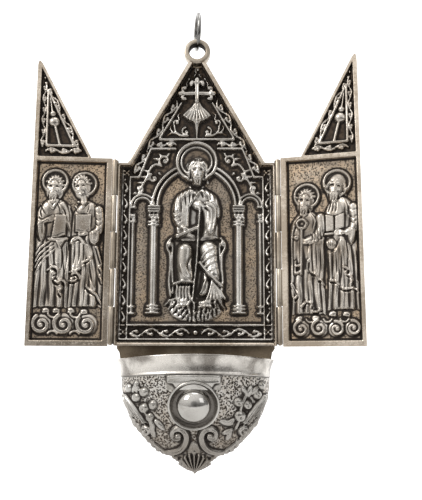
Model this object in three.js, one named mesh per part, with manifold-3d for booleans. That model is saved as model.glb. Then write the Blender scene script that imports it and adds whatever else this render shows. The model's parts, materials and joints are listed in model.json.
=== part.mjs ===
// Hanging silver triptych with a small holy-water stoup below it: a shallow gabled case with a relief
// panel, two gabled doors on knuckle hinges, a back plate that carries a pointed bowl, and a ring to
// hang it by. Millimetres, +Z up, +X to the viewer's right, the viewer stands at -Y. The origin is the
// top of the inside of the hanging ring, where the wall hook carries it.
//
// The pieces are drawn on an upright sheet: x to the right, y up from the doors' lower edge, z towards
// the viewer from the parting plane, where the faces of the closed doors would meet the case.
import * as THREE from 'three';
import { mergeVertices } from 'three/addons/utils/BufferGeometryUtils.js';
import Module from 'manifold-3d';

// ---- driving dimensions ----
const hingeHalf = 31;         // hinge axis from the middle line
const leafGap = 1.2;          // hinge axis to the edge of the door and to the side of the case
const sideGap = 0.1;          // further room at the side of the case, so the doors swing clear
const doorAngle = { left: 5, right: 15 };   // degrees forward of flat open
const doorHeight = 71.2;      // lower edge to the shoulder of a door
const doorReach = 30.8;       // hinge axis to the free edge
const doorApex = 112.4;       // where the two edges of a door's gable would cross
const doorGableFoot = 9;      // hinge axis to the foot of the gable
const doorThick = 2.8;
const doorSoft = 5;           // how far the rounding of a door's tip reaches down its free edge
const doorRim = { hinge: 3.5, free: 1.8, sill: 2.4, bar: 2.2, slope: 1.25 };
const doorGround = -1.8;      // sunk field of a door
const caseHalf = hingeHalf - leafGap - sideGap;
const caseBottom = 0.3;
const caseShoulder = 69.6;
const caseGableFoot = 26.2;   // half width of the gable at the shoulder
const caseApex = 116.8;
const caseFront = -0.3;
const caseGround = -4.5;      // sunk field of the case
const caseBack = -6.9;
const caseRim = { side: 0.9, foot: 1.3, shoulder: 1, gable: 2 };
const pieceGap = 0.3;         // left between separate pieces that lie against each other
const plateFront = caseBack - pieceGap;
const plateThick = 1;
const plateInset = 0.3;       // the plate's edge lies this far inside the case's outline
const eyeHeight = 115.6;
const eyeOuter = 5.15;
const eyeHole = 3.2;
const eyeDepth = 4;
const eyeMiddle = -2.7;       // depth of the eye's middle on the sheet
const eyeSoft = 0.5;
const ringWire = 0.75;        // radius of the wire
const ringMiddle = 6.95;      // radius of the wire's middle line
const ringTurn = 8;           // degrees that the ring is turned about the upright
const ringPlay = 0.5;         // left between the wire and the hole that it hangs in
const ringCentre = eyeHeight + eyeHole - ringPlay - ringWire + ringMiddle;
const hangDrop = ringCentre + ringMiddle - ringWire;
const knuckleRadius = 1;
const pinBore = 0.8;
const pinRadius = 0.72;
const knuckleCount = 5;
const knuckleGap = 0.3;
const knuckleFoot = 0.6;      // door's lower edge to the lowest knuckle
const bowlRim = -4.6;         // top of the bowl
const bowlTip = -45.2;
const bowlHalf = 27.2;        // half width under the rim band
const bowlReach = 19.2;       // how far it stands out from the back plate under the band
const bowlWall = 1;
const bandHeight = 6.4;
const bandFlare = 2;          // how far the rim stands out past the foot of its band
const mouthArch = 1.7;        // the front of the rim lies this much higher than its ends
const bossHeight = -20.6;
const bossRadius = 9.1;
const domeRadius = 5.9;
const domeHeight = 4.4;

// ---- solids ----
const wasm = await Module();
wasm.setup();

function solidOf(geometry) {
  geometry.deleteAttribute('normal');
  geometry.deleteAttribute('uv');
  const merged = mergeVertices(geometry);
  const corners = merged.index.array;
  const triangles = [];
  for (let i = 0; i < corners.length; i += 3) {
    const [a, b, c] = [corners[i], corners[i + 1], corners[i + 2]];
    if (a !== b && b !== c && c !== a) triangles.push(a, b, c);
  }
  return new wasm.Manifold(new wasm.Mesh({
    numProp: 3,
    vertProperties: new Float32Array(merged.attributes.position.array),
    triVerts: new Uint32Array(triangles),
  }));
}

function geometryOf(solid) {
  const mesh = solid.getMesh();
  const geometry = new THREE.BufferGeometry();
  geometry.setAttribute('position', new THREE.BufferAttribute(mesh.vertProperties, 3));
  geometry.setIndex(new THREE.BufferAttribute(mesh.triVerts, 1));
  return geometry;
}

const joined = (solids) => solids.reduce((whole, next) => whole.add(next));

function shapeOf(points) {
  return new THREE.Shape(points.map(([x, y]) => new THREE.Vector2(x, y)));
}

// A flat piece cut to an outline, between two depths.
function slab(shape, back, front) {
  const settings = { depth: front - back, bevelEnabled: false, curveSegments: 4 };
  return solidOf(new THREE.ExtrudeGeometry(shape, settings).translate(0, 0, back));
}

// Takes off what reaches behind a depth.
function trimmed(solid, back) {
  const size = 400;
  const block = new THREE.BoxGeometry(size, size, size).translate(0, 0, back - size / 2);
  return solid.subtract(solidOf(block));
}

const sunk = 0.4;             // how far a raised line is rooted in its ground

// A raised line with a peaked section that follows a flat run of points.
function ridge(points, halfWidth, height, ground) {
  const nodes = points.map(([x, y]) => new THREE.Vector3(x, y, 0));
  const path = nodes.length === 2 ? new THREE.LineCurve3(...nodes) : new THREE.CatmullRomCurve3(nodes);
  const section = shapeOf([[sunk, -halfWidth], [sunk, halfWidth], [-height, 0]]);
  const settings = { steps: nodes.length - 1, bevelEnabled: false, extrudePath: path };
  return solidOf(new THREE.ExtrudeGeometry(section, settings).translate(0, 0, ground));
}

function lines(points, halfWidth, height, ground) {
  return points.slice(1).map((point, i) => ridge([points[i], point], halfWidth, height, ground));
}

function arc(x, y, radius, from, to, steps) {
  return Array.from({ length: steps + 1 }, (_, i) => {
    const angle = THREE.MathUtils.degToRad(from + (to - from) * i / steps);
    return [x + radius * Math.cos(angle), y + radius * Math.sin(angle)];
  });
}

// An S scroll from a to b. Its bend grows towards both ends, so each end curls up.
function scroll(a, b, curl, steps) {
  const path = [new THREE.Vector2(0, 0)];
  let heading = 0;
  const fine = 10;
  for (let i = 0; i < steps * fine; i += 1) {
    const u = 2 * (i + 0.5) / (steps * fine) - 1;
    heading += curl * Math.sign(u) * u * u * 3 / (steps * fine);
    const last = path[path.length - 1];
    path.push(new THREE.Vector2(last.x + Math.cos(heading), last.y + Math.sin(heading)));
  }
  const span = path[path.length - 1];
  const scale = Math.hypot(b[0] - a[0], b[1] - a[1]) / span.length();
  const turn = Math.atan2(b[1] - a[1], b[0] - a[0]) - span.angle();
  const placed = path.filter((_, i) => i % fine === 0);
  return placed.map((point) => {
    const at = point.clone().multiplyScalar(scale).rotateAround(new THREE.Vector2(), turn);
    return [a[0] + at.x, a[1] + at.y];
  });
}

// The same scroll as a raised line.
function scrollwork(a, b, curl, steps, ground) {
  return ridge(scroll(a, b, curl, steps), 0.5, 1.15, ground);
}

// A spiral from its outer end inwards, through a number of degrees.
function spiral(x, y, radius, sweep, steps) {
  return Array.from({ length: steps + 1 }, (_, i) => {
    const angle = THREE.MathUtils.degToRad(-90 + sweep * i / steps);
    const reach = radius * (1 - 0.85 * i / steps);
    return [x + reach * Math.cos(angle), y + reach * Math.sin(angle)];
  });
}

// A rounded lump, half sunk in the ground.
function lump(x, y, halfWidth, halfHeight, depth, ground, tilt = 0, around = 8, rows = 5) {
  const geometry = new THREE.SphereGeometry(1, around, rows);
  geometry.scale(halfWidth, halfHeight, depth).rotateZ(THREE.MathUtils.degToRad(tilt));
  return solidOf(geometry.translate(x, y, ground));
}

// A tapered round fold of cloth, a limb or a shaft, half sunk in the ground.
function fold([x1, y1], [x2, y2], half1, half2, depth, ground, around = 6) {
  const length = Math.hypot(x2 - x1, y2 - y1);
  const geometry = new THREE.CylinderGeometry(half2, half1, length, around, 1);
  geometry.scale(1, 1, 2 * depth / (half1 + half2));
  geometry.rotateZ(Math.atan2(y2 - y1, x2 - x1) - Math.PI / 2);
  return solidOf(geometry.translate((x1 + x2) / 2, (y1 + y2) / 2, ground));
}

// A halo is a low dish with a raised edge.
function halo(x, y, radius, ground, rise = 1, edge = 1, around = 14) {
  const dip = rise - 0.75;
  const profile = [[0, -sunk], [radius, -sunk], [radius - edge * 0.3, rise], [radius - edge, dip],
    [0, dip]];
  const points = profile.map(([across, up]) => new THREE.Vector2(across, up));
  return solidOf(new THREE.LatheGeometry(points, around).rotateX(Math.PI / 2).translate(x, y, ground));
}

// ---- figures ----
// A head with long hair and, for an elder, a beard. The face is only a calm oval with a nose.
function head(x, y, size, depth, ground, bearded) {
  const parts = [
    lump(x, y - size * 0.1, size * 1.12, size * 1.25, depth * 0.65, ground, 0, 6, 4),
    lump(x, y, size * 0.8, size * 1.12, depth, ground, 0, 6, 4),
    fold([x, y + size * 0.25], [x, y - size * 0.3], 0.15, 0.35, depth * 0.4, ground + depth * 0.65, 4),
  ];
  if (bearded) parts.push(lump(x, y - size * 1.1, size * 0.6, size * 0.9, depth * 0.9, ground, 0, 5, 4));
  return parts;
}

// What a saint holds: a book as a thin block, or a key as a shaft with a ring and a bit.
function book([x, y, halfWidth, halfHeight], tilt, ground, depth) {
  const geometry = new THREE.BoxGeometry(2 * halfWidth, 2 * halfHeight, depth);
  geometry.rotateZ(THREE.MathUtils.degToRad(tilt)).translate(x, y, ground + depth / 2);
  return solidOf(geometry);
}

function key([x, top, foot], ground) {
  return [
    fold([x, top], [x, foot], 0.45, 0.45, 2, ground, 4),
    halo(x, top + 1.4, 1.5, ground + 1, 0.9, 0.7, 8),
    book([x - 1.2, foot + 1.6, 1.2, 1.4], 0, ground, 1.9),
  ];
}

// A robed body from rings of a height, a half width and a depth, bottom ring first. Folds run up it:
// every second line of points is drawn in by the ring's fluting.
function robe(x, rings, folds, ground) {
  const closed = [[rings[0][0], 0, 0, 0], ...rings, [rings[rings.length - 1][0], 0, 0, 0]];
  const around = folds * 4;
  const profile = closed.map(([y, half]) => new THREE.Vector2(half, y));
  const geometry = new THREE.LatheGeometry(profile, around);
  const position = geometry.attributes.position;
  for (let i = 0; i < position.count; i += 1) {
    const [, half, depth, fluting] = closed[i % closed.length];
    const drawn = Math.floor(i / closed.length) % 2 ? 1 - fluting : 1;
    position.setX(i, position.getX(i) * drawn);
    position.setZ(i, half > 0 ? position.getZ(i) / half * depth * drawn : 0);
  }
  return solidOf(geometry.translate(x, 0, ground));
}

// A standing saint in a long robe and cloak, with the hands at what they hold and the toes below.
function standingSaint(saint, ground) {
  const { x, hem, shoulder, chest, spread, headAt, haloRadius, bearded, hands, holds } = saint;
  const waist = hem + (shoulder - hem) * 0.62;
  const rings = [[hem, spread, 1.7, 0.3], [hem + 12, spread * 0.95, 1.75, 0.25],
    [waist, chest, 1.7, 0.1], [shoulder - 3, chest * 0.96, 1.7, 0.04],
    [shoulder, chest * 0.66, 1.5, 0], [shoulder + 2.5, 1.9, 1.3, 0]];
  const parts = [
    robe(x, rings, 4, ground),
    halo(headAt[0], headAt[1], haloRadius, ground, 1, 1, 12),
    ...head(headAt[0], headAt[1] - 0.4, haloRadius * 0.52, 1.95, ground, bearded),
    ...holds(ground),
  ];
  for (const side of [-1, 1]) {
    const elbow = [x + side * chest * 0.72, waist + 1.5];
    parts.push(fold(elbow, hands, chest * 0.34, chest * 0.2, 1.95, ground, 5));
    parts.push(lump(x + side * spread * 0.34, hem - 0.5, 1.5, 1, 1.3, ground, 0, 5, 3));
  }
  return parts;
}

// The saint on the throne in the middle of the case.
function seatedSaint(ground) {
  const torso = [[36, 6.2, 2.4, 0.1], [42, 7.4, 2.6, 0.06], [50, 8.3, 2.7, 0.1], [57, 7.4, 2.7, 0.14],
    [60.4, 4.6, 2.4, 0.1], [62, 2, 2, 0]];
  const parts = [
    robe(0, torso, 4, ground),
    ...head(0, 66.6, 3.3, 3.5, ground, true),
    fold([-7, 46.5], [-4, 42.6], 2.2, 1.5, 3, ground, 5),
    fold([7.2, 46], [1.4, 52.4], 2.1, 1.6, 3, ground, 5),
    lump(-3.6, 42.6, 1.9, 1.7, 3.6, ground, 35, 6, 4),
    lump(0.2, 52.6, 2.5, 2, 3.7, ground, -20, 6, 4),
    fold([0.4, 51.5], [-0.6, 18], 0.45, 0.4, 3.5, ground, 4),
  ];
  for (const side of [-1, 1]) {
    // knee and shin in one robe with a pleated hem, then the post of the throne and the foot
    const shin = [[16.8, 4.3, 2.4, 0.24], [22.6, 3.4, 2.5, 0.2], [23.4, 3.2, 3, 0], [33, 3.4, 3.6, 0],
      [37, 2.8, 3.2, 0], [38.6, 1.4, 2.4, 0]];
    parts.push(robe(side * 4.4, shin, 3, ground));
    parts.push(fold([side * 9.8, 41.5], [side * 9.6, 19], 1, 0.7, 1.6, ground, 4));
    parts.push(lump(side * 3.8, 15.6, 2, 1.5, 2.9, ground, side * -12, 5, 3));
  }
  // the shaggy footing
  const tufts = 6;
  for (let i = 0; i < tufts; i += 1) {
    const angle = Math.PI * (1.02 + 0.96 * i / (tufts - 1));
    const root = [5.6 * Math.cos(angle), 15.5 + 2.6 * Math.sin(angle)];
    const end = [10 * Math.cos(angle), 15.5 + 6.4 * Math.sin(angle)];
    parts.push(fold(root, end, 1.4, 0.8, 1.9, ground, 4));
  }
  return parts;
}

// ---- hinges ----
// One tube of a hinge about the axis at x = 0, with a tab that reaches the edge of its leaf.
function knuckle(from, to, toward, x) {
  const outer = new THREE.CylinderGeometry(knuckleRadius, knuckleRadius, to - from, 8);
  const bore = new THREE.CylinderGeometry(pinBore, pinBore, to - from + 2, 8);
  const edge = x + toward * (leafGap + 0.3);
  const middle = (from + to) / 2;
  const tab = slab(shapeOf([[x, from], [edge, from], [edge, to], [x, to]]), -knuckleRadius + 0.05, -0.5);
  return solidOf(outer.translate(x, middle, 0)).add(tab).subtract(solidOf(bore.translate(x, middle, 0)));
}

// The door has every second knuckle, the case the ones at both ends and in the middle.
function knucklesOf(first, toward, x) {
  const pitch = (doorHeight - 2 * knuckleFoot) / knuckleCount;
  const solids = [];
  for (let i = first; i < knuckleCount; i += 2) {
    const from = knuckleFoot + i * pitch + knuckleGap / 2;
    solids.push(knuckle(from, from + pitch - knuckleGap, toward, x));
  }
  return joined(solids);
}

// ---- case ----
const gableSlope = (caseApex - caseShoulder) / caseGableFoot;

function houseShape(half, bottom, shoulder, apex) {
  const foot = (apex - shoulder) / gableSlope;
  return shapeOf([[-half, bottom], [half, bottom], [half, shoulder], [foot, shoulder], [0, apex],
    [-foot, shoulder], [-half, shoulder]]);
}

function column(x, radius, foot, top, ground) {
  const capital = top - 7.4;
  const thick = radius * 1.5;
  const profile = [[0, foot], [thick, foot], [thick, foot + 1.4], [radius, foot + 3.6],
    [radius, capital], [radius * 1.35, capital + 0.8], [radius, capital + 1.6], [thick, capital + 5],
    [thick, top], [0, top]];
  const points = profile.map(([across, up]) => new THREE.Vector2(across, up));
  return solidOf(new THREE.LatheGeometry(points, 6).translate(x, 0, ground));
}

function crossAndShell(ground) {
  const arm = 7.3;
  const middle = 99;
  const parts = [
    fold([0, middle - 4], [0, middle + 6.6], 0.75, 0.75, 1.5, ground, 4),
    fold([-arm + 1, middle], [arm - 1, middle], 0.7, 0.7, 1.5, ground, 4),
    lump(0, middle + 5.6, 0.9, 2, 1.6, ground, 0, 6, 4),
    fold([0, 86.4], [0, 80.6], 1, 0.25, 1.7, ground, 4),
    lump(0, 94, 1.9, 2.2, 2.6, ground, 0, 6, 4),
  ];
  for (const side of [-1, 1]) {
    parts.push(lump(side * (arm - 1.2), middle, 1.9, 0.9, 1.6, ground, 0, 5, 3));
  }
  const ribs = 5;
  for (let i = 0; i < ribs; i += 1) {
    const lean = THREE.MathUtils.degToRad((i - (ribs - 1) / 2) * 19);
    const tip = [7.6 * Math.sin(lean), 95 - 7.9 * Math.cos(lean)];
    parts.push(fold([0.6 * Math.sin(lean), 94.6], tip, 0.5, 1.25, 2.3, ground, 4));
  }
  return parts;
}

// Scrolls run down the channel beside each slope of the gable.
function gableScrolls(ground) {
  const count = 4;
  const top = 96;
  const pitch = 6.9;
  const inset = 4.1;           // rim's outer edge to the middle of the channel, level
  const wave = 0.5;            // how far the ends of a scroll lie off the middle of the channel
  const bend = 4.6;
  const middle = (y) => (caseApex - y) / gableSlope - inset;
  return Array.from({ length: count }, (_, i) => {
    const y1 = top - pitch * i;
    const y2 = y1 - pitch * 0.86;
    return [-1, 1].map((side) => scrollwork([side * (middle(y1) - wave), y1],
      [side * (middle(y2) + wave), y2], side * (i % 2 ? bend : -bend), 4, ground));
  }).flat();
}

function makeCase() {
  const strip = 25.6;          // lines that part the side strips from the field
  const spring = 53.6;         // where the arches spring
  const columnAt = 16.2;
  const ground = caseGround;
  const line = (points) => [1, -1].flatMap((side) => {
    return lines(points.map(([x, y]) => [side * x, y]), 0.5, 1.7, ground);
  });
  const both = (maker) => [1, -1].flatMap(maker);
  const innerApex = caseApex - caseRim.gable * Math.hypot(1, gableSlope);
  const outer = slab(houseShape(caseHalf, caseBottom, caseShoulder, caseApex), caseBack, caseFront);
  const innerShoulder = caseShoulder - caseRim.shoulder;
  const inner = houseShape(caseHalf - caseRim.side, caseBottom + caseRim.foot, innerShoulder, innerApex);
  const eyeRoom = new THREE.CylinderGeometry(eyeOuter + pieceGap, eyeOuter + pieceGap, 20, 24);
  const tray = outer.subtract(slab(inner, ground, 1))
    .subtract(solidOf(eyeRoom.rotateX(Math.PI / 2).translate(0, eyeHeight, 0)));
  const parts = [
    ...line([[strip, 2.8], [strip, 64.8], [22.1, 64.8], [17.7, 76.2], [8.4, 76.2]]),
    ...line([[0, 8], [strip, 8]]),
    ...line([[0, 2.8], [strip, 2.8]]),
    ...line([[6.1, 94.8], [14.6, 80], [0, 80]]),
    ...both((side) => column(side * columnAt, 1.6, 11.3, spring, ground)),
    ...both((side) => column(side * 24.2, 0.8, 11.3, spring, ground)),
    ridge(arc(0, spring, 16.4, 4, 176, 10), 0.75, 1.7, ground),
    ridge(arc(0, spring, 14.6, 4, 176, 10), 0.6, 1.5, ground),
    ...both((side) => ridge(arc(side * 20.8, spring, 3.4, 0, 180, 5), 0.6, 1.6, ground)),
    ...both((side) => scrollwork([side * 10.6, 72.6], [side * 17.4, 64.4], side * 8, 7, ground)),
    ...both((side) => scrollwork([side * 17.6, 66], [side * 22.8, 59.6], side * -8, 7, ground)),
    ...both((side) => scrollwork([side * 4.2, 82.6], [side * 8.4, 84.6], side * 6, 6, ground)),
    ...gableScrolls(ground),
    halo(0, 70.9, 8.7, ground, 1.9, 1.5, 14),
    lump(0, 5.4, 1, 1, 1.4, ground, 0, 5, 3),
    lump(0, 109.4, 1.1, 1, 1.3, ground, 0, 5, 3),
    ...crossAndShell(ground),
    ...seatedSaint(ground),
    ...both((side) => knucklesOf(0, -side, side * hingeHalf)),
  ];
  for (const side of [-1, 1]) {
    for (let i = 0; i < 2; i += 1) {
      const from = side * (3 + i * 10.5);
      const bend = side * (i % 2 ? 6 : -6);
      parts.push(scrollwork([from, 5.4], [from + side * 8.4, 5.4], bend, 6, ground));
    }
  }
  return trimmed(joined([tray, ...parts]), caseBack);
}

// ---- doors ----
const doorSlope = (doorApex - doorHeight) / (doorReach - doorGableFoot);

function doorShape(side) {
  const softAcross = doorSoft / Math.hypot(1, doorSlope);
  const shape = new THREE.Shape();
  shape.moveTo(side * leafGap, 0);
  shape.lineTo(side * doorReach, 0);
  shape.lineTo(side * doorReach, doorApex - doorSoft);
  shape.quadraticCurveTo(side * doorReach, doorApex,
    side * (doorReach - softAcross), doorApex - softAcross * doorSlope);
  shape.lineTo(side * doorGableFoot, doorHeight);
  shape.lineTo(side * leafGap, doorHeight);
  return shape;
}

function makeDoor(side, saints, clouds) {
  const ground = doorGround;
  const mirrored = (points) => points.map(([x, y]) => [side * x, y]);
  const freeEdge = doorReach - doorRim.free;
  const fieldTop = doorHeight - 1.7;
  const gableFoot = fieldTop + doorRim.bar;
  const slant = doorRim.slope * Math.hypot(1, doorSlope);
  const slopeAt = (y) => doorReach - (doorApex - slant - y) / doorSlope;
  const leaf = slab(doorShape(side), -doorThick, 0);
  const field = slab(shapeOf(mirrored([[doorRim.hinge, doorRim.sill], [freeEdge, doorRim.sill],
    [freeEdge, fieldTop], [doorRim.hinge, fieldTop]])), ground, 1);
  const gable = slab(shapeOf(mirrored([[slopeAt(gableFoot), gableFoot], [freeEdge, gableFoot],
    [freeEdge, doorApex - doorRim.free * doorSlope - slant]])), ground, 1);
  const triangle = [[26.6, 98.4], [26.6, 76.2], [15.9, 76.2], [26.6, 98.4]];
  const parts = [
    ...lines(mirrored(triangle), 0.45, 1.5, ground),
    fold([side * 25.7, 94.5], [side * 21.4, 76.8], 0.4, 0.5, 1.3, ground, 4),
    lump(side * 24.4, 88.7, 1.25, 1.3, 1.6, ground, 0, 6, 3),
    lump(side * 23.7, 85.7, 2.1, 2.1, 2, ground, 0, 7, 4),
    ...saints.flatMap((saint) => standingSaint(saint, ground)),
    knucklesOf(1, side, 0),
  ];
  // leaf scrolls beside the slope of the gable and along its foot
  for (let i = 0; i < 2; i += 1) {
    const y = 92 - i * 8;
    const x = slopeAt(y);
    const bend = side * (i % 2 ? -4 : 4);
    parts.push(scrollwork([side * (x + 1.8), y], [side * (x - 1.6), y - 6.4], bend, 4, ground));
  }
  for (const from of [15.4, 21.6]) {
    parts.push(scrollwork([side * from, 73.9], [side * (from + 5), 73.9], 4, 4, ground));
  }
  for (const [x, y, radius] of clouds) {
    parts.push(ridge(spiral(side * x, y, radius, side * 470, 6), 0.7, 1.7, ground));
  }
  return trimmed(joined([leaf.subtract(field).subtract(gable), ...parts]), -doorThick);
}

// ---- bowl ----
const bandFoot = bowlRim - bandHeight;

// Half width of the bowl at a height: the upper half of an ellipse that runs out into a point.
function bowlHalfAt(y) {
  const round = bowlHalf * Math.sqrt(Math.max(0, 1 - ((bandFoot - y) / 29.6) ** 2));
  const point = 10 * Math.tanh(0.155 * (y - bowlTip));
  return y >= bandFoot ? bowlHalf : (round ** 6 + point ** 6) ** (1 / 6);
}

// How far the middle of the bowl stands out from the back plate at a height.
const bowlReachAt = (y) => bowlReach * Math.min(1, (y - bowlTip) / (bandFoot - bowlTip)) ** 0.62;

// A point on the front of the bowl, lifted off it by a small distance.
function onBowl([x, y], lift = 0) {
  const across = Math.min(0.999, Math.abs(x) / bowlHalfAt(y));
  return new THREE.Vector3(x, y, caseBack + bowlReachAt(y) * Math.sqrt(1 - across * across) + lift);
}

// A round body from rings of a height, a half width and a reach, whose front arches up a little.
function pouch(rings, around) {
  const profile = rings.map(([y, half]) => new THREE.Vector2(half, y));
  const geometry = new THREE.LatheGeometry(profile, around);
  const position = geometry.attributes.position;
  for (let i = 0; i < position.count; i += 1) {
    const [y, half, reach] = rings[i % rings.length];
    const forward = half > 0 ? position.getZ(i) / half : 0;
    const arch = mouthArch * Math.max(0, (y - bowlTip) / (bowlRim - bowlTip)) ** 2;
    position.setZ(i, forward * reach);
    position.setY(i, y + arch * Math.max(0, forward) ** 2);
  }
  return solidOf(geometry.translate(0, 0, caseBack));
}

function vine(points, radius) {
  const path = new THREE.CatmullRomCurve3(points.map((point) => onBowl(point)));
  const section = shapeOf(arc(0, 0, radius, 0, 270, 3));
  return solidOf(new THREE.ExtrudeGeometry(section, {
    steps: points.length - 1, bevelEnabled: false, extrudePath: path,
  }));
}

// A leaf or a fruit on the bowl, longer along its tilt.
function leafOnBowl(x, y, halfWidth, halfHeight, depth, tilt, around = 6, rows = 4) {
  const geometry = new THREE.SphereGeometry(1, around, rows);
  const at = onBowl([x, y]);
  geometry.scale(halfWidth, halfHeight, depth).rotateZ(THREE.MathUtils.degToRad(tilt));
  geometry.rotateY(Math.asin(Math.min(0.8, Math.max(-0.8, x / bowlHalfAt(y)))) * 0.8);
  return solidOf(geometry.translate(at.x, at.y, at.z));
}

function makeBoss() {
  const rooted = -3;           // bottom of the boss inside the wall, before the hollow is cut
  const profile = [[0, rooted], [bossRadius, rooted], [bossRadius, 0.7], [bossRadius - 0.8, 0.7],
    [domeRadius + 0.5, -0.5], [domeRadius, 0.2]];
  const rows = 3;
  for (let i = 1; i < rows; i += 1) {
    const angle = Math.PI / 2 * i / rows;
    profile.push([domeRadius * Math.cos(angle), 0.2 + domeHeight * Math.sin(angle)]);
  }
  profile.push([0, 0.2 + domeHeight]);
  const points = profile.map(([across, up]) => new THREE.Vector2(across, up));
  const at = onBowl([0, bossHeight], 0.3);
  const lean = Math.atan2(bowlReachAt(bossHeight + 3) - bowlReachAt(bossHeight - 3), 6);
  const geometry = new THREE.LatheGeometry(points, 14).rotateX(Math.PI / 2 + lean);
  return solidOf(geometry.translate(at.x, at.y, at.z));
}

function makeBowl() {
  const rows = 5;
  const around = 24;
  const body = Array.from({ length: rows + 1 }, (_, i) => {
    const y = bowlTip + (bandFoot - bowlTip) * (i / rows) ** 1.25;
    return [y, i ? bowlHalfAt(y) : 0, bowlReachAt(y)];
  });
  const band = [[0, 0.25], [0.4, 0.35], [0.88, 0.95], [1, 1]].map(([up, flare]) => {
    const out = flare * bandFlare;
    return [bandFoot + 0.1 + up * (bandHeight - 0.1), bowlHalf + out, bowlReach + out];
  });
  const outer = pouch([...body, ...band, [bowlRim, 0, 0]], around);
  const inside = Array.from({ length: 5 }, (_, i) => {
    const y = bowlTip + 3.4 + (bandFoot - bowlTip - 3.4) * (i / 4) ** 1.3;
    return [y, i ? bowlHalfAt(y) - bowlWall : 0, bowlReachAt(y) - bowlWall];
  });
  const mouth = [[bowlRim - 1.4, bowlHalf + 0.4, bowlReach + 0.4],
    [bowlRim + 3, bowlHalf + 0.9, bowlReach + 0.9], [bowlRim + 3, 0, 0]];
  const label = slab(shapeOf([[-9.4, bandFoot + 0.4], [-9.4, bandFoot - 1.2], [-6.4, bandFoot - 1.2],
    [-5.6, bandFoot - 2.4], [5.6, bandFoot - 2.4], [6.4, bandFoot - 1.2], [9.4, bandFoot - 1.2],
    [9.4, bandFoot + 0.4]]), 8, caseBack + bowlReach + 0.7);
  const parts = [label, makeBoss()];
  for (const side of [-1, 1]) {
    for (const [x, y] of [[22.6, -15], [19.4, -17.4], [15.6, -20.6], [16.2, -24.6]]) {
      parts.push(leafOnBowl(side * x, y, 1.8, 1.8, 1.8, 0, 5, 4));
    }
    parts.push(leafOnBowl(side * 13.6, -27.4, 1.1, 3, 1.1, side * 45, 4, 3));
    for (const [x, y] of [[21.4, -22.4], [19.2, -24]]) {
      parts.push(leafOnBowl(side * x, y, 1, 4.2, 1, side * -32, 4, 3));
    }
    // C scroll: a curl beside the boss's foot that sweeps down and outwards
    const curl = spiral(side * 5.9, -31, 2.6, side * 330, 6).reverse();
    parts.push(vine([...curl, [side * 8.2, -35.6], [side * 10.6, -36.6]], 1));
    parts.push(leafOnBowl(side * 8.6, -38.6, 0.9, 3.6, 0.8, side * -57, 4, 3));
  }
  for (let i = 0; i < 3; i += 1) {
    const lean = THREE.MathUtils.degToRad((i - 1) * 34);
    const root = [0.7 * Math.sin(lean), -43.6];
    const tip = [5.2 * Math.sin(lean), -43.8 + 5.4 * Math.cos(lean)];
    parts.push(vine([root, [(root[0] + tip[0]) / 2, (root[1] + tip[1]) / 2], tip], 0.9));
  }
  return trimmed(joined([outer, ...parts]).subtract(pouch([...inside, ...mouth], around)), caseBack);
}

// ---- back plate ----
// One sheet behind the case that narrows a little under it and follows the bowl down to its point.
function makeBackPlate() {
  const edge = plateInset;
  const half = caseHalf - edge;
  const rows = 10;
  const side = [[caseGableFoot - edge, caseShoulder - edge], [half, caseShoulder - edge], [half, -0.6],
    [half - 1, -2]];
  for (let i = 0; i < rows; i += 1) {
    const y = bandFoot + 3 + (bowlTip - bandFoot - 3) * i / rows;
    side.push([bowlHalfAt(y) + edge, y]);
  }
  side.push([0, bowlTip - edge]);
  const mirrored = side.slice(0, -1).reverse().map(([x, y]) => [-x, y]);
  const tip = [1.6, caseApex - 1.6 * gableSlope - 2 * edge];
  const outline = [tip, ...side, ...mirrored, [-tip[0], tip[1]]];
  return slab(shapeOf(outline), plateFront - plateThick, plateFront);
}

// ---- hanging eye and ring ----
function makeEye() {
  const soft = eyeSoft;
  const half = eyeDepth / 2;
  const profile = [[eyeHole, half - soft], [eyeHole, soft - half], [eyeHole + soft, -half],
    [eyeOuter - soft, -half], [eyeOuter, soft - half], [eyeOuter, half - soft], [eyeOuter - soft, half],
    [eyeHole + soft, half], [eyeHole, half - soft]];
  const points = profile.map(([across, up]) => new THREE.Vector2(across, up));
  const geometry = new THREE.LatheGeometry(points, 14).rotateX(Math.PI / 2);
  return solidOf(geometry.translate(0, eyeHeight, eyeMiddle));
}

const makeRing = () => solidOf(new THREE.TorusGeometry(ringMiddle, ringWire, 6, 18));

function makePin() {
  const length = doorHeight - knuckleFoot;
  const geometry = new THREE.CylinderGeometry(pinRadius, pinRadius, length, 8);
  return solidOf(geometry.translate(0, doorHeight / 2, 0));
}

// ---- the object ----
const silver = (color, roughness) => new THREE.MeshStandardMaterial({ color, roughness, metalness: 1 });

function piece(name, solid, material) {
  const mesh = new THREE.Mesh(geometryOf(solid), material);
  mesh.name = name;
  return mesh;
}

// The saints of each door, placed from its hinge axis.
const saints = {
  left: [
    {
      x: -22.6, hem: 13.4, shoulder: 55, chest: 6.2, spread: 6.6,
      headAt: [-22.5, 61.4], haloRadius: 5.2, bearded: true,
      hands: [-20.4, 41.6], holds: (ground) => [book([-20.6, 45, 2.7, 3.8], -5, ground, 2)],
    },
    {
      x: -10.9, hem: 13, shoulder: 54.2, chest: 5.4, spread: 6.4,
      headAt: [-11.3, 60.7], haloRadius: 4.8, bearded: false,
      hands: [-11, 42.6], holds: (ground) => [book([-11.4, 46.4, 2.8, 3], 4, ground, 2)],
    },
  ],
  right: [
    {
      x: 10.6, hem: 11.4, shoulder: 49.4, chest: 5.4, spread: 6.2,
      headAt: [10.4, 55.7], haloRadius: 4.9, bearded: true,
      hands: [8.8, 38.6], holds: (ground) => key([8.4, 43.4, 26.6], ground),
    },
    {
      x: 22.7, hem: 12.6, shoulder: 53.6, chest: 5.8, spread: 6,
      headAt: [22.1, 59.9], haloRadius: 5.4, bearded: true,
      hands: [21.4, 41.6], holds: (ground) => [book([20.4, 46.2, 3.3, 3.4], 3, ground, 2)],
    },
  ],
};

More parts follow.
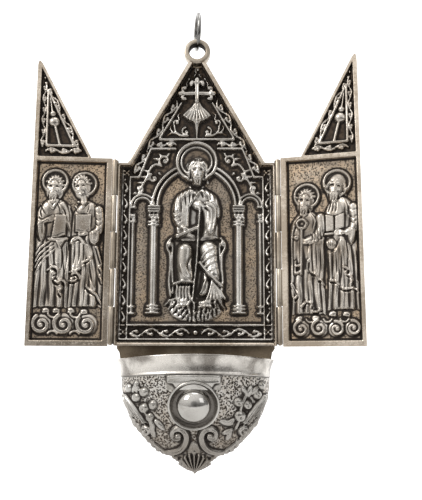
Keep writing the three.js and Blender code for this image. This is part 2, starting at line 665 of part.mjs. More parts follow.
// The curled clouds under their feet.
const clouds = {
  left: [[26, 8.4, 3.4], [17.6, 8.2, 3.9], [9.3, 8.4, 3.7]],
  right: [[8.4, 6.6, 3], [14.6, 6.9, 3], [20.2, 6.2, 3], [25.6, 6.5, 3]],
};

const triptych = new THREE.Group();
triptych.rotation.x = Math.PI / 2;
triptych.position.set(0, eyeMiddle, -hangDrop);

triptych.add(piece('centre_case', makeCase(), silver(0xb7ab9a, 0.4)));
triptych.add(piece('back_plate', makeBackPlate(), silver(0x9c8b76, 0.45)));
triptych.add(piece('holy_water_bowl', makeBowl(), silver(0xb9b4ab, 0.35)));
triptych.add(piece('hanging_eye', makeEye(), silver(0xc6bcae, 0.35)));
const ring = piece('hanging_ring', makeRing(), silver(0xc9c8c6, 0.2));
ring.rotation.y = THREE.MathUtils.degToRad(90 + ringTurn);
ring.position.set(0, ringCentre, eyeMiddle);
triptych.add(ring);

for (const [name, side] of [['left', -1], ['right', 1]]) {
  const wing = new THREE.Group();
  wing.position.x = side * hingeHalf;
  wing.rotation.y = THREE.MathUtils.degToRad(-side * doorAngle[name]);
  wing.add(piece(`${name}_door`, makeDoor(side, saints[name], clouds[name]), silver(0xb3a795, 0.4)));
  const pin = piece(`${name}_hinge_pin`, makePin(), silver(0xbdb6aa, 0.3));
  pin.position.x = side * hingeHalf;
  triptych.add(wing, pin);
}

export default triptych;
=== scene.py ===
# Hanging silver triptych with a holy-water bowl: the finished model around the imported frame.
import json
import math
import random

import bmesh
import bpy
import numpy as np
from mathutils import Matrix, Vector


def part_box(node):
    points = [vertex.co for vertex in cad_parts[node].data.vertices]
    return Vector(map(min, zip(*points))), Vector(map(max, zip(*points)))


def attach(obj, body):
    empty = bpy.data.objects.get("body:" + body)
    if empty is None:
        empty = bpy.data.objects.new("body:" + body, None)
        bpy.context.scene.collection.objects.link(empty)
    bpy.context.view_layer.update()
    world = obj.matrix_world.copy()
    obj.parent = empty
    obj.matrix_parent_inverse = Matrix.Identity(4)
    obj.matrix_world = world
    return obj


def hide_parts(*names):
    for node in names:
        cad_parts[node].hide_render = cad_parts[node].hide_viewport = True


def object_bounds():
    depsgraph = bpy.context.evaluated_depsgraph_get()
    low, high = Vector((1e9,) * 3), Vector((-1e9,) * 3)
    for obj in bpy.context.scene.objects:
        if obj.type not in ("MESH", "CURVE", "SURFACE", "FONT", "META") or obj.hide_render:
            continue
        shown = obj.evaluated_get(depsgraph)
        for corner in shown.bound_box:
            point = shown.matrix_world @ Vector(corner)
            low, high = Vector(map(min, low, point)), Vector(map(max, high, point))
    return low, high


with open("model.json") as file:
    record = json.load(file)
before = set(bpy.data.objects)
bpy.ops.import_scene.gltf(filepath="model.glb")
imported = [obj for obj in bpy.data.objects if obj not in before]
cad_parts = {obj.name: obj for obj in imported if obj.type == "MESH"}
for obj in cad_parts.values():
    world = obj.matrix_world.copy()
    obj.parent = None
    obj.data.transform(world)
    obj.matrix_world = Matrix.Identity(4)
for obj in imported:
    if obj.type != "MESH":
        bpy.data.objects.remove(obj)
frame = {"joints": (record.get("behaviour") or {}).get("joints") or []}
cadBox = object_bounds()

mm = 0.001

# where the panels lie: x to the right, y up from the doors' lower edge, z towards the viewer
caseLow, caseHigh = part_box("centre_case")
backDepth = -6.9             # the case's back, on the panels' own scale
caseFoot = 0.3
hingeAt = {j["child"]: Vector(j["pos_m"]) / mm for j in frame["joints"]}
swing = {j["child"]: -j["range_deg"][0] for j in frame["joints"]}    # how far each door stands forward of flat

def placed(points):          # from a panel's millimetres to the frame's metres
    p = np.asarray(points, float)
    return np.stack([p[:, 0], caseHigh.y / mm - (p[:, 2] - backDepth), caseLow.z / mm + p[:, 1] - caseFoot], 1) * mm

def placedDoor(points, body, side):      # x of these points runs outwards from the hinge's axis
    p = np.asarray(points, float)
    turn = math.radians(swing[body])
    c, s = math.cos(turn), math.sin(turn)
    x = side * abs(hingeAt[body].x) + side * (p[:, 0] * c - p[:, 2] * s)
    return placed(np.stack([x, p[:, 1], p[:, 0] * s + p[:, 2] * c], 1))

def finishPiece(name, bm, body, replaced=(), material=None):
    mesh = bpy.data.meshes.new(name)
    bm.to_mesh(mesh)
    bm.free()
    piece = bpy.data.objects.new(name, mesh)
    bpy.context.scene.collection.objects.link(piece)
    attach(piece, body)
    if replaced:
        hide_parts(*replaced)
    if material:
        mesh.materials.append(material)
    print("made", name, len(mesh.vertices), "points")
    return piece

def moved(bm, points):
    for v, p in zip(bm.verts, points):
        v.co = p

# paths on a panel
def smoothPath(points, steps=5):
    p = np.array(points, float)
    if len(p) < 3:
        return p
    p = np.vstack([2 * p[0] - p[1], p, 2 * p[-1] - p[-2]])
    t = np.linspace(0, 1, steps, endpoint=False)[:, None]
    runs = []
    for a, b, c, d in zip(p, p[1:], p[2:], p[3:]):
        runs.append(0.5 * (2 * b + (c - a) * t + (2 * a - 5 * b + 4 * c - d) * t ** 2 + (3 * b - a - 3 * c + d) * t ** 3))
    return np.vstack(runs + [p[-2][None]])

def arcPath(x, y, radius, start, end, steps=20):
    a = np.radians(np.linspace(start, end, steps + 1))
    return np.stack([x + radius * np.cos(a), y + radius * np.sin(a)], 1)

def curlPath(x, y, radius, start, sweep, inner=0.12, steps=22):  # from the outer end inwards
    t = np.linspace(0, 1, steps + 1)
    a = np.radians(start + sweep * t)
    r = radius * (1 - (1 - inner) * t ** 0.85)
    return np.stack([x + r * np.cos(a), y + r * np.sin(a)], 1)

def comma(t):        # thin tail, full head
    return 0.3 + 0.7 * np.sin(np.pi * np.clip(t, 0, 1) ** 1.6) ** 0.8

def spindle(t):
    return 0.25 + 0.75 * np.sin(np.pi * t)

def tailed(t):
    return 1 - 0.75 * t

# a carved panel: heights over points
class Relief:
    def __init__(self, x, y, ground):
        self.shape = x.shape
        self.x, self.y = x.ravel(), y.ravel()
        self.ground = ground
        self.h = np.full(self.x.size, float(ground))

    def near(self, x0, x1, y0, y1):
        return np.flatnonzero((self.x > x0) & (self.x < x1) & (self.y > y0) & (self.y < y1))

    def put(self, i, rise, mode, base):
        if mode == "over":
            level = (self.ground if base is None else base) + rise
            self.h[i] = np.where(rise > 0, np.maximum(self.h[i], level), self.h[i])
        elif mode == "add":
            self.h[i] += rise
        elif mode == "cut":
            self.h[i] -= rise
        elif mode == "set":
            self.h[i] = np.where(rise > 0, (self.ground if base is None else base) + rise, self.h[i])

    def section(self, q, form):
        q = np.clip(q, 0, 1)
        if form == "round":
            return np.sqrt(1 - q * q)
        if form == "soft":
            return (1 - q * q) ** 2
        if form == "ridge":
            return 1 - q
        edge = np.clip((1 - q) * 3.2, 0, 1)      # flat with rounded shoulders
        return edge * edge * (3 - 2 * edge)

    def stroke(self, path, half, high, form="round", mode="over", swell=None, base=None, smooth=False):
        p = smoothPath(path) if smooth else np.array(path, float)
        scale = swell(np.linspace(0, 1, len(p))) if swell else np.ones(len(p))
        w, g = half * scale, high * np.sqrt(scale)
        i = self.near(p[:, 0].min() - half, p[:, 0].max() + half, p[:, 1].min() - half, p[:, 1].max() + half)
        if not i.size:
            return
        x, y, best = self.x[i], self.y[i], np.zeros(i.size)
        for k in range(len(p) - 1):
            d = p[k + 1] - p[k]
            t = np.clip(((x - p[k, 0]) * d[0] + (y - p[k, 1]) * d[1]) / max(1e-9, d @ d), 0, 1)
            away = np.hypot(x - p[k, 0] - t * d[0], y - p[k, 1] - t * d[1])
            q = away / (w[k] + (w[k + 1] - w[k]) * t)
            rise = np.where(q < 1, (g[k] + (g[k + 1] - g[k]) * t) * self.section(q, form), 0)
            best = np.maximum(best, rise)
        self.put(i, best, mode, base)

    def dome(self, x, y, halfX, halfY, high, tilt=0, form="round", mode="over", base=None):
        reach = max(halfX, halfY)
        i = self.near(x - reach, x + reach, y - reach, y + reach)
        c, s = math.cos(math.radians(tilt)), math.sin(math.radians(tilt))
        dx, dy = self.x[i] - x, self.y[i] - y
        q = np.hypot((dx * c + dy * s) / halfX, (dy * c - dx * s) / halfY)
        self.put(i, np.where(q < 1, high * self.section(q, form), 0), mode, base)

    def inside(self, outline, reach):  # signed depth inside an outline
        p = np.array(outline, float)
        i = self.near(p[:, 0].min() - reach, p[:, 0].max() + reach, p[:, 1].min() - reach, p[:, 1].max() + reach)
        x, y = self.x[i], self.y[i]
        away, odd = np.full(i.size, 1e9), np.zeros(i.size, bool)
        for a, b in zip(p, np.roll(p, -1, 0)):
            d = b - a
            t = np.clip(((x - a[0]) * d[0] + (y - a[1]) * d[1]) / max(1e-9, d @ d), 0, 1)
            away = np.minimum(away, np.hypot(x - a[0] - t * d[0], y - a[1] - t * d[1]))
            if a[1] != b[1]:
                odd ^= ((a[1] > y) != (b[1] > y)) & (x < (b[0] - a[0]) * (y - a[1]) / (b[1] - a[1]) + a[0])
        return i, np.where(odd, away, -away)

    def panel(self, outline, high, soft=0.4, mode="add", base=None, smooth=False):
        p = smoothPath(list(outline) + [outline[0]])[:-1] if smooth else outline
        i, deep = self.inside(p, soft)
        t = np.clip(deep / soft, 0, 1)
        self.put(i, high * t * t * (3 - 2 * t), mode, base)

    def ring(self, x, y, radius, half, high, form="round", mode="over", base=None):
        i = self.near(x - radius - half, x + radius + half, y - radius - half, y + radius + half)
        q = np.abs(np.hypot(self.x[i] - x, self.y[i] - y) - radius) / half
        self.put(i, np.where(q < 1, high * self.section(q, form), 0), mode, base)

    def soften(self):
        h = self.h.reshape(self.shape)
        for axis in (0, 1):
            before, after = np.roll(h, 1, axis), np.roll(h, -1, axis)
            first = [slice(None)] * 2
            last = [slice(None)] * 2
            first[axis], last[axis] = 0, -1
            before[tuple(first)] = h[tuple(first)]
            after[tuple(last)] = h[tuple(last)]
            h = 0.25 * before + 0.5 * h + 0.25 * after
        self.h = h.ravel()

def blurred(h, cells):
    for axis in (0, 1):
        for _ in range(2):
            pad = np.concatenate([np.repeat(np.take(h, [0], axis), cells + 1, axis), h,
                                  np.repeat(np.take(h, [-1], axis), cells, axis)], axis)
            c = np.cumsum(pad, axis)
            n = 2 * cells + 1
            h = (np.take(c, range(n, c.shape[axis]), axis) - np.take(c, range(0, c.shape[axis] - n), axis)) / n
    return h

def curl(r, x, y, radius, start, sweep, half=0.42, high=1.0):
    r.stroke(curlPath(x, y, radius, start, sweep), half, high, swell=lambda t: 1 - 0.35 * t)
    r.dome(x, y, half * 1.15, half * 1.15, high * 1.1)

def stem(r, points, half=0.4, high=0.95, swell=None):
    r.stroke(points, half, high, smooth=True, swell=swell)

# heads
def face(r, x, y, size, base, high, turn=0.0, tilt=0.0, beard=0.0, hair="short"):
    c, s, slim = math.cos(math.radians(tilt)), math.sin(math.radians(tilt)), 0.86
    def at(u, v):
        return x + size * (u * slim * c - v * s), y + size * (u * slim * s + v * c)
    def line(points, half, rise, mode="add", form="soft", swell=None):
        r.stroke([at(u, v) for u, v in points], half * size, rise, form, mode, swell, smooth=len(points) > 2)
    def spot(u, v, halfU, halfV, rise, mode="add", form="soft", turned=0):
        px, py = at(u, v)
        r.dome(px, py, halfU * size * slim, halfV * size, rise, tilt + turned, form, mode)
    spot(0, 0.1, 1.13, 1.42, 0.01, "over", "flat")
    cx, cy = at(0, 0.1)
    r.dome(cx, cy, size * 1.12 * slim, size * 1.42, high * 0.8, tilt, "round", "over", base)      # hair and skull
    cx, cy = at(turn * 0.3, -0.04)
    r.dome(cx, cy, size * 0.84 * slim, size * 1.24, high, tilt, "round", "over", base)             # face
    t = turn
    spot(t, 0.7, 0.5, 0.26, 0.06 * high)                               # forehead
    for side in (-1, 1):
        spot(t + side * 0.36, 0.2, 0.27, 0.2, 0.34 * high, "cut")       # socket
        spot(t + side * 0.37, 0.16, 0.17, 0.09, 0.2 * high)             # lid
        line([(t + side * 0.12, 0.38), (t + side * 0.36, 0.48), (t + side * 0.62, 0.34)], 0.11, 0.15 * high)
        spot(t + side * 0.42, -0.24, 0.24, 0.24, 0.1 * high)            # cheek
    line([(t, 0.34), (t, -0.2)], 0.14, 0.3 * high, swell=lambda q: 0.55 + 0.45 * q)           # nose
    spot(t, -0.22, 0.19, 0.11, 0.12 * high)
    line([(t - 0.24, -0.5), (t, -0.47), (t + 0.24, -0.5)], 0.07, 0.26 * high, "cut")           # mouth
    spot(t, -0.64, 0.18, 0.08, 0.1 * high)
    if beard:                                                          # beard in wavy locks
        spot(t * 0.8, -0.96, 0.62, 0.56, 0.3 * high, "add", "flat")
        for k in range(4):
            u = (k - 1.5) * 0.3
            line([(t + u * 1.2, -0.62 - abs(u) * 0.1), (t + u * 1.25 + 0.07, -0.92),
                  (t + u * 0.8, -1.1 - beard * (0.5 - abs(u)))],
                 0.09, 0.34 * high, "cut", swell=spindle)
        for side in (-1, 1):
            line([(t + side * 0.04, -0.38), (t + side * 0.3, -0.5), (t + side * 0.44, -0.82)], 0.1, 0.2 * high)
    if hair == "long":
        for side in (-1, 1):
            line([(side * 0.66, 1.02), (side * 1.0, 0.6), (side * 1.1, 0.0), (side * 1.04, -0.5), (side * 1.12, -0.85)], 0.26,
                 0.32 * high, form="round", swell=lambda q: 1 - 0.5 * q ** 3)
            for k in range(3):
                u = 0.72 + 0.2 * k
                line([(side * 0.08, 1.12 + 0.12 * k), (side * u * 0.75, 0.98 + 0.06 * k), (side * (u + 0.14), 0.3),
                      (side * (u + 0.04), -0.5),
                      (side * (u + 0.1), -0.9 + 0.1 * k)], 0.06, 0.24 * high, "cut")
    elif hair == "short":
        for k in range(8):
            a = math.radians(22 + 19.5 * k)
            line([(0.74 * math.cos(a), 0.2 + 0.84 * math.sin(a)), (1.0 * math.cos(a + 0.16), 0.2 + 1.05 * math.sin(a + 0.14)),
                  (1.12 * math.cos(a + 0.1), 0.1 + 1.3 * math.sin(a + 0.1))],
                 0.13, 0.26 * high, form="round")
    elif hair == "fringe":
        for side in (-1, 1):
            for k in range(3):
                line([(side * (0.86 + 0.06 * k), 0.5 - 0.3 * k), (side * (1.1 + 0.03 * k), 0.16 - 0.3 * k)], 0.13, 0.26 * high,
                     form="round")

def halo(r, x, y, radius, edge, high):
    r.dome(x, y, radius, radius, high * 0.36, form="flat", mode="set")
    r.ring(x, y, radius - edge / 2, edge / 2, high)

# the middle panel: sizes in millimetres
case = {
    "half": 29.9, "bottom": 0.3, "shoulder": 69.6, "gableFoot": 26.2, "apex": 116.8,
    "front": -0.3, "ground": -4.5, "eyeDrop": 1.2, "eyeGap": 5.45,
    "columns": 206, "sideColumns": 14, "bodyRows": 275, "gableRows": 158,
}
caseSlope = (case["apex"] - case["shoulder"]) / case["gableFoot"]

def gableHalf(y, inset=0.0):
    return (case["apex"] - y) / caseSlope - inset * math.hypot(1, caseSlope) / caseSlope

def groove(r, points, half=0.34, deep=0.5, swell=spindle):
    r.stroke(points, half, deep, "soft", "cut", swell, smooth=len(points) > 2)

def fold(r, points, half=0.62, high=0.55, swell=spindle):     # a raised fold with its shadow beside it
    r.stroke(points, half, high, "soft", "add", swell, smooth=len(points) > 2)
    p = np.array(points, float) + np.array([half * 0.95, -half * 0.3])
    r.stroke([tuple(q) for q in p], half * 0.55, high * 0.85, "soft", "cut", swell, smooth=len(points) > 2)

def runningScroll(r, a, b, units, amp=1.0, half=0.36, high=1.15, flip=1):     # a wavy stem with a curled leaf in each bend
    a, b = np.array(a, float), np.array(b, float)
    along = (b - a) / np.hypot(*(b - a))
    across = np.array([-along[1], along[0]])
    pitch = np.hypot(*(b - a)) / units
    def at(s, n):
        return tuple(a + along * s + across * n)
    for k in range(units):
        f, s = (flip if k % 2 else -flip) * amp, k * pitch
        r.stroke([at(s, -f * 0.25), at(s + 0.2 * pitch, f * 0.55), at(s + 0.45 * pitch, f), at(s + 0.75 * pitch, f * 0.8),
                  at(s + pitch, f * 0.25)],
                 half, high, smooth=True, swell=lambda t: 0.75 + 0.25 * np.sin(np.pi * t))
        r.stroke([at(s + 0.45 * pitch, f), at(s + 0.78 * pitch, f * 0.45), at(s + 0.74 * pitch, -f * 0.3),
                  at(s + 0.5 * pitch, -f * 0.42)],
                 half * 1.15, high * 1.05, smooth=True)
        x, y = at(s + 0.5 * pitch, -f * 0.36)
        r.dome(x, y, half * 1.9, half * 1.9, high * 1.3)
        r.stroke([at(s + 0.24 * pitch, f * 0.5), at(s + 0.02 * pitch, f * 0.95)], half * 1.2, high, swell=tailed)
        r.stroke([at(s + 0.95 * pitch, f * 0.2), at(s + 0.98 * pitch, f * 0.9)], half * 1.1, high, swell=tailed)

def curvedRow(r, a, b, units, amp=0.8, half=0.42, high=1.3, flip=1):      # S curves one after another, each with a round head
    a, b = np.array(a, float), np.array(b, float)
    pitch = (b - a) / units
    across = np.array([-pitch[1], pitch[0]]) / np.hypot(*pitch) * amp * flip
    for k in range(units):
        at = lambda s, n: tuple(a + pitch * (k + s) + across * n)
        r.stroke([at(0.12, 0.1), at(0.2, 0.9), at(0.4, 0.75), at(0.58, 0.0), at(0.74, -0.75), at(0.93, -0.5)], half, high,
                 smooth=True,
                 swell=lambda t: 0.5 + 0.5 * np.sin(np.pi * np.clip(1.25 * t, 0, 1)))
        r.dome(*at(0.16, 0.2), half * 1.7, half * 1.7, high * 1.25)
        r.dome(*at(0.9, -0.35), half * 1.1, half * 1.1, high)

# a standing body: round shoulders, then a few deep folds to its hem
def robe(r, left, right, top, hem, high, depth, waves, slope=6.0):
    ly, lx = np.array([p[1] for p in left][::-1]), np.array([p[0] for p in left][::-1])
    ry, rx = np.array([p[1] for p in right][::-1]), np.array([p[0] for p in right][::-1])
    i = r.near(min(lx.min(), rx.min()) - 0.5, max(lx.max(), rx.max()) + 0.5, hem - 1.5, top + 0.5)
    x, y = r.x[i], r.y[i]
    xl, xr = np.interp(y, ly, lx), np.interp(y, ry, rx)
    mid, half = (xl + xr) / 2, np.maximum(0.1, (xr - xl) / 2)
    q = np.clip((x - mid) / half, -1.2, 1.2)
    crown = top - slope * np.abs(q) ** 2.2               # the line of the shoulders
    body = high * np.sqrt(np.clip(1 - np.abs(q) ** 2.1, 0, 1)) * np.clip(1 - np.clip(1 - (crown - y) / 3.2, 0, 1) ** 2, 0,
            1) ** 0.5
    body = body + 0.2 * np.sin(6.5 * q + 0.42 * y + top) * np.sin(0.21 * y + 2.6 * q)      # soft unevenness of the cloth
    down = np.clip((top - 8 - y) / (top - 8 - hem), 0, 1)
    wavy = hem
    for centre, lean, wide, deep in waves:       # folds: place at the hem from -1 to 1, drift upwards, width, depth
        at = centre + lean * (1 - down) ** 1.2
        body = body - depth * deep * np.exp(-((q - at) / wide) ** 2) * down ** 0.8
        wavy = wavy + 0.5 * deep * np.exp(-((q - centre) / (wide * 1.6)) ** 2)
    inside = (np.abs(q) < 1) & (y < crown) & (y > wavy)
    edge = np.clip((y - wavy) / 0.4, 0, 1) ** 0.5
    r.put(i, np.where(inside, np.maximum(0.08, body) * edge, 0), "over", None)

def carveFrame(r):
    up = case["front"] - case["ground"]
    half, shoulder = case["half"], case["shoulder"]
    foot = case["bottom"]
    def edge(points, width, high):
        r.stroke(points, width, high, "flat")
    for side in (-1, 1):
        edge([(side * (half - 0.1), foot), (side * (half - 0.1), shoulder)], 0.95, up - 0.3)
        edge([(side * half, shoulder + 0.1), (side * case["gableFoot"], shoulder + 0.1)], 1.2, up - 0.1)
        a = (side * (gableHalf(shoulder) - 0.75), shoulder)
        b = (0, case["apex"] - 1.4)
        edge([a, b], 1.15, up)
        # lines that part the border from the field
        for x in (28.4, 25.6):
            r.stroke([(side * x, 2.6), (side * x, shoulder - 1.2 if x > 28 else 64.8)], 0.34, 1.75)
        path = [(25.6, 64.8), (22.1, 64.8), (17.7, 76.2), (8.2, 76.2)]
        r.stroke([(side * x, y) for x, y in path], 0.62, 1.9)
        r.stroke([(side * 6.1, 94.8), (side * 14.6, 80.0), (0, 80.0)], 0.62, 1.9)
        r.stroke([(0, 8.0), (side * 25.6, 8.0)], 0.6, 1.9)
        r.stroke([(0, 2.7), (side * 28.4, 2.7)], 0.55, 1.7)
        r.stroke([(side * 25.6, 8.0), (side * 28.4, 8.0)], 0.3, 1.2)
    edge([(-half, foot + 0.35), (half, foot + 0.35)], 1.15, up - 1.2)
    r.stroke([(-half + 1, 1.6), (half - 1, 1.6)], 0.35, up - 1.9)

def carveBorders(r):
    high = 1.3
    for side in (-1, 1):
        curvedRow(r, (side * 27.25, 8.6), (side * 27.25, 64.6), 9, 0.75, 0.52, high + 0.1, side)
        for dx, dy in ((0, 0), (-0.75, 0.75), (0.75, 0.75), (-0.75, -0.75), (0.75, -0.75)):   # corner rosettes
            r.dome(side * 27.0 + dx, 5.4 + dy, 0.52, 0.52, high)
            r.dome(side * 27.0 + dx, 66.7 + dy, 0.5, 0.5, high)
        m = lambda v: gableHalf(v) - 3.75
        runningScroll(r, (side * m(96.0), 96.0), (side * m(76.2), 76.2), 4, 1.15, 0.56, high + 0.2, side)
        runningScroll(r, (side * m(75.4), 75.4), (side * (m(66.4) - 0.4), 66.4), 2, 1.15, 0.56, high + 0.2, side)
        runningScroll(r, (side * 7.9, 78.1), (side * 15.8, 78.1), 2, 0.85, 0.46, high + 0.1, -side)
        runningScroll(r, (side * 2.3, 5.2), (side * 24.6, 5.2), 4, 1.45, 0.52, high + 0.1, -side)
    r.dome(0, 5.3, 1.15, 1.15, 1.7)
    # tip of the gable
    curl(r, 0, 108.9, 1.15, 250, -400, 0.36, high)
    for side in (-1, 1):
        stem(r, [(side * 0.6, 107.0), (side * 1.4, 106.0), (side * 2.2, 106.8)], 0.36, high, tailed)
        stem(r, [(side * 3.1, 104.9), (side * 4.2, 103.2), (side * 3.9, 101.6), (side * 4.7, 100.9)], 0.38, high, comma)
        r.dome(side * 3.2, 105.0, 0.6, 0.6, high)

def carveSpandrels(r):
    high = 1.45
    for side in (-1, 1):
        def p(points):
            return [(side * x, y) for x, y in points]
        def turn(x, y, radius, start, sweep, half=0.6):
            a = start if side > 0 else 180 - start
            curl(r, side * x, y, radius, a, side * sweep, half, high)
        turn(12.4, 71.6, 2.5, -60, 470)
        stem(r, p([(13.6, 69.4), (16.2, 69.9), (18.2, 67.6), (19.2, 64.6), (20.6, 62.0), (22.5, 57.9)]), 0.62, high)
        turn(16.5, 64.5, 1.9, 60, -420)
        stem(r, p([(17.6, 66.1), (18.6, 65.4), (19.0, 64.0)]), 0.55, high)
        turn(22.0, 60.1, 1.75, -90, -430)
        for x, y, u, v in ((15.4, 72.2, 17.2, 72.6), (14.0, 73.6, 15.2, 74.8), (11.0, 74.0, 10.2, 75.0),
                           (19.2, 67.2, 20.9, 68.0),
                           (20.0, 65.0, 21.9, 65.0), (21.2, 62.6, 23.3, 62.9), (14.4, 66.4, 13.4, 65.6),
                           (23.6, 58.6, 24.9, 58.2)):
            r.stroke(p([(x, y), (u, v)]), 0.72, high * 0.95, swell=tailed)
            r.dome(side * x, y, 0.66, 0.66, high)
        # inside the small triangle
        turn(4.3, 83.2, 1.8, 90, -430, 0.5)
        stem(r, p([(3.4, 81.6), (6.4, 81.8), (8.3, 83.4), (8.8, 85.6)]), 0.52, high * 0.95)
        turn(7.9, 86.9, 1.35, -30, 400, 0.46)
        stem(r, p([(8.0, 82.7), (9.8, 82.8), (11.8, 81.7)]), 0.52, high * 0.9, tailed)
        stem(r, p([(9.4, 82.9), (10.4, 84.6), (9.9, 86.4)]), 0.52, high * 0.9, tailed)
        stem(r, p([(7.0, 88.4), (7.4, 90.0), (6.4, 91.2)]), 0.52, high * 0.9, tailed)

def carveCross(r):
    high, mid = 2.1, 98.7
    r.stroke([(0, 92.5), (0, mid + 4.6)], 0.98, high, "flat")
    r.stroke([(-5.2, mid), (5.2, mid)], 0.98, high, "flat")
    for dx, dy, turned in ((0, 5.0, 0), (6.0, 0, -90), (-6.0, 0, 90)):       # each arm ends in a lily
        c, s = math.cos(math.radians(turned)), math.sin(math.radians(turned))
        def at(u, v):
            return dx + u * c - v * s, mid + dy + u * s + v * c
        r.dome(*at(0, 0.3), 1.15, 1.75, high * 1.1, turned, form="flat")
        for way in (-1, 1):
            r.stroke([at(0, -1.6), at(way * 1.0, -0.5), at(way * 2.0, -0.2), at(way * 2.3, -1.3)], 0.74, high, "flat",
                     smooth=True, swell=lambda t: 0.75 + 0.5 * t)
    for a, b in (((-5.4, mid), (5.4, mid)), ((0, 93.5), (0, mid + 5))):
        r.stroke([a, b], 0.16, 0.2, "soft", "cut")
    # scallop: rounded ribs that touch, spreading from a knob
    r.panel([(-1.3, 95.6), (1.3, 95.6), (3.2, 92.2), (3.9, 90.2), (3.2, 88.0), (1.6, 87.2), (-1.6, 87.2), (-3.2, 88.0),
             (-3.9, 90.2), (-3.2, 92.2)], 1.7, 0.8, "over", smooth=True)
    for k in range(9):
        lean = math.radians((k - 4) * 10.2)
        far = 8.2 * (1 - 0.13 * abs(math.sin(lean)))
        r.stroke([(0.5 * math.sin(lean), 95.0), (far * math.sin(lean), 95.4 - far * math.cos(lean))], 0.86,
                 2.9 - 1.1 * abs(math.sin(lean)), "round",
                 swell=lambda t: 0.34 + 0.66 * t)
    r.dome(0, 95.4, 1.5, 1.0, 2.7)
    r.stroke([(0, 87.6), (0, 85.4), (0, 80.5)], 1.7, 2.4, "round", swell=lambda t: 1 - 0.8 * t)       # spearhead under it

def carveArches(r):
    spring, high = 53.4, 1.9
    for side in (-1, 1):
        for radius, half in ((16.9, 0.72), (14.9, 0.72)):
            a0, a1 = (2, 88)
            path = [(side * px, py) for px, py in arcPath(0, spring, radius, a0, a1)]
            r.stroke(path, half, high)
        for radius, half in ((4.4, 0.5), (3.1, 0.5)):
            path = [(side * px, py) for px, py in arcPath(20.6, spring + 0.2, radius, 0, 180)]
            r.stroke(path, half, high * 0.95)
        for x, wide in ((16.2, 1.62), (24.2, 0.62)):
            x *= side
            big = wide > 1
            r.stroke([(x, 11.9 + wide), (x, 47.0)], wide, 2.2 if big else 1.4)
            for y, w in ((53.3, 1.42), (52.3, 1.42), (51.3, 1.34), (47.1, 1.26), (46.0, 1.3)) if big else ((52.9, 1.4),
                    (47.4, 1.3)):
                r.stroke([(x - wide * w, y), (x + wide * w, y)], 0.42, 2.5 if big else 1.6)
            for k in (-1, 0, 1):     # leaves of the capital
                r.dome(x + k * wide * 0.92, 49.6, wide * 0.55, 1.25, 2.7 if big else 1.7)
                r.dome(x + k * wide * 0.92, 50.4, wide * 0.22, 0.4, 0.5, mode="cut", form="soft")
                r.dome(x + (k + 0.5) * wide * 0.8, 48.4, wide * 0.4, 0.8, 2.6 if big else 1.6)
            for y, w in ((15.1, 1.28), (13.9, 1.36), (12.5, 1.5)) if big else ((14.8, 1.5), (12.3, 1.8)):
                r.stroke([(x - wide * w, y), (x + wide * w, y)], 0.5, 2.5 if big else 1.6)

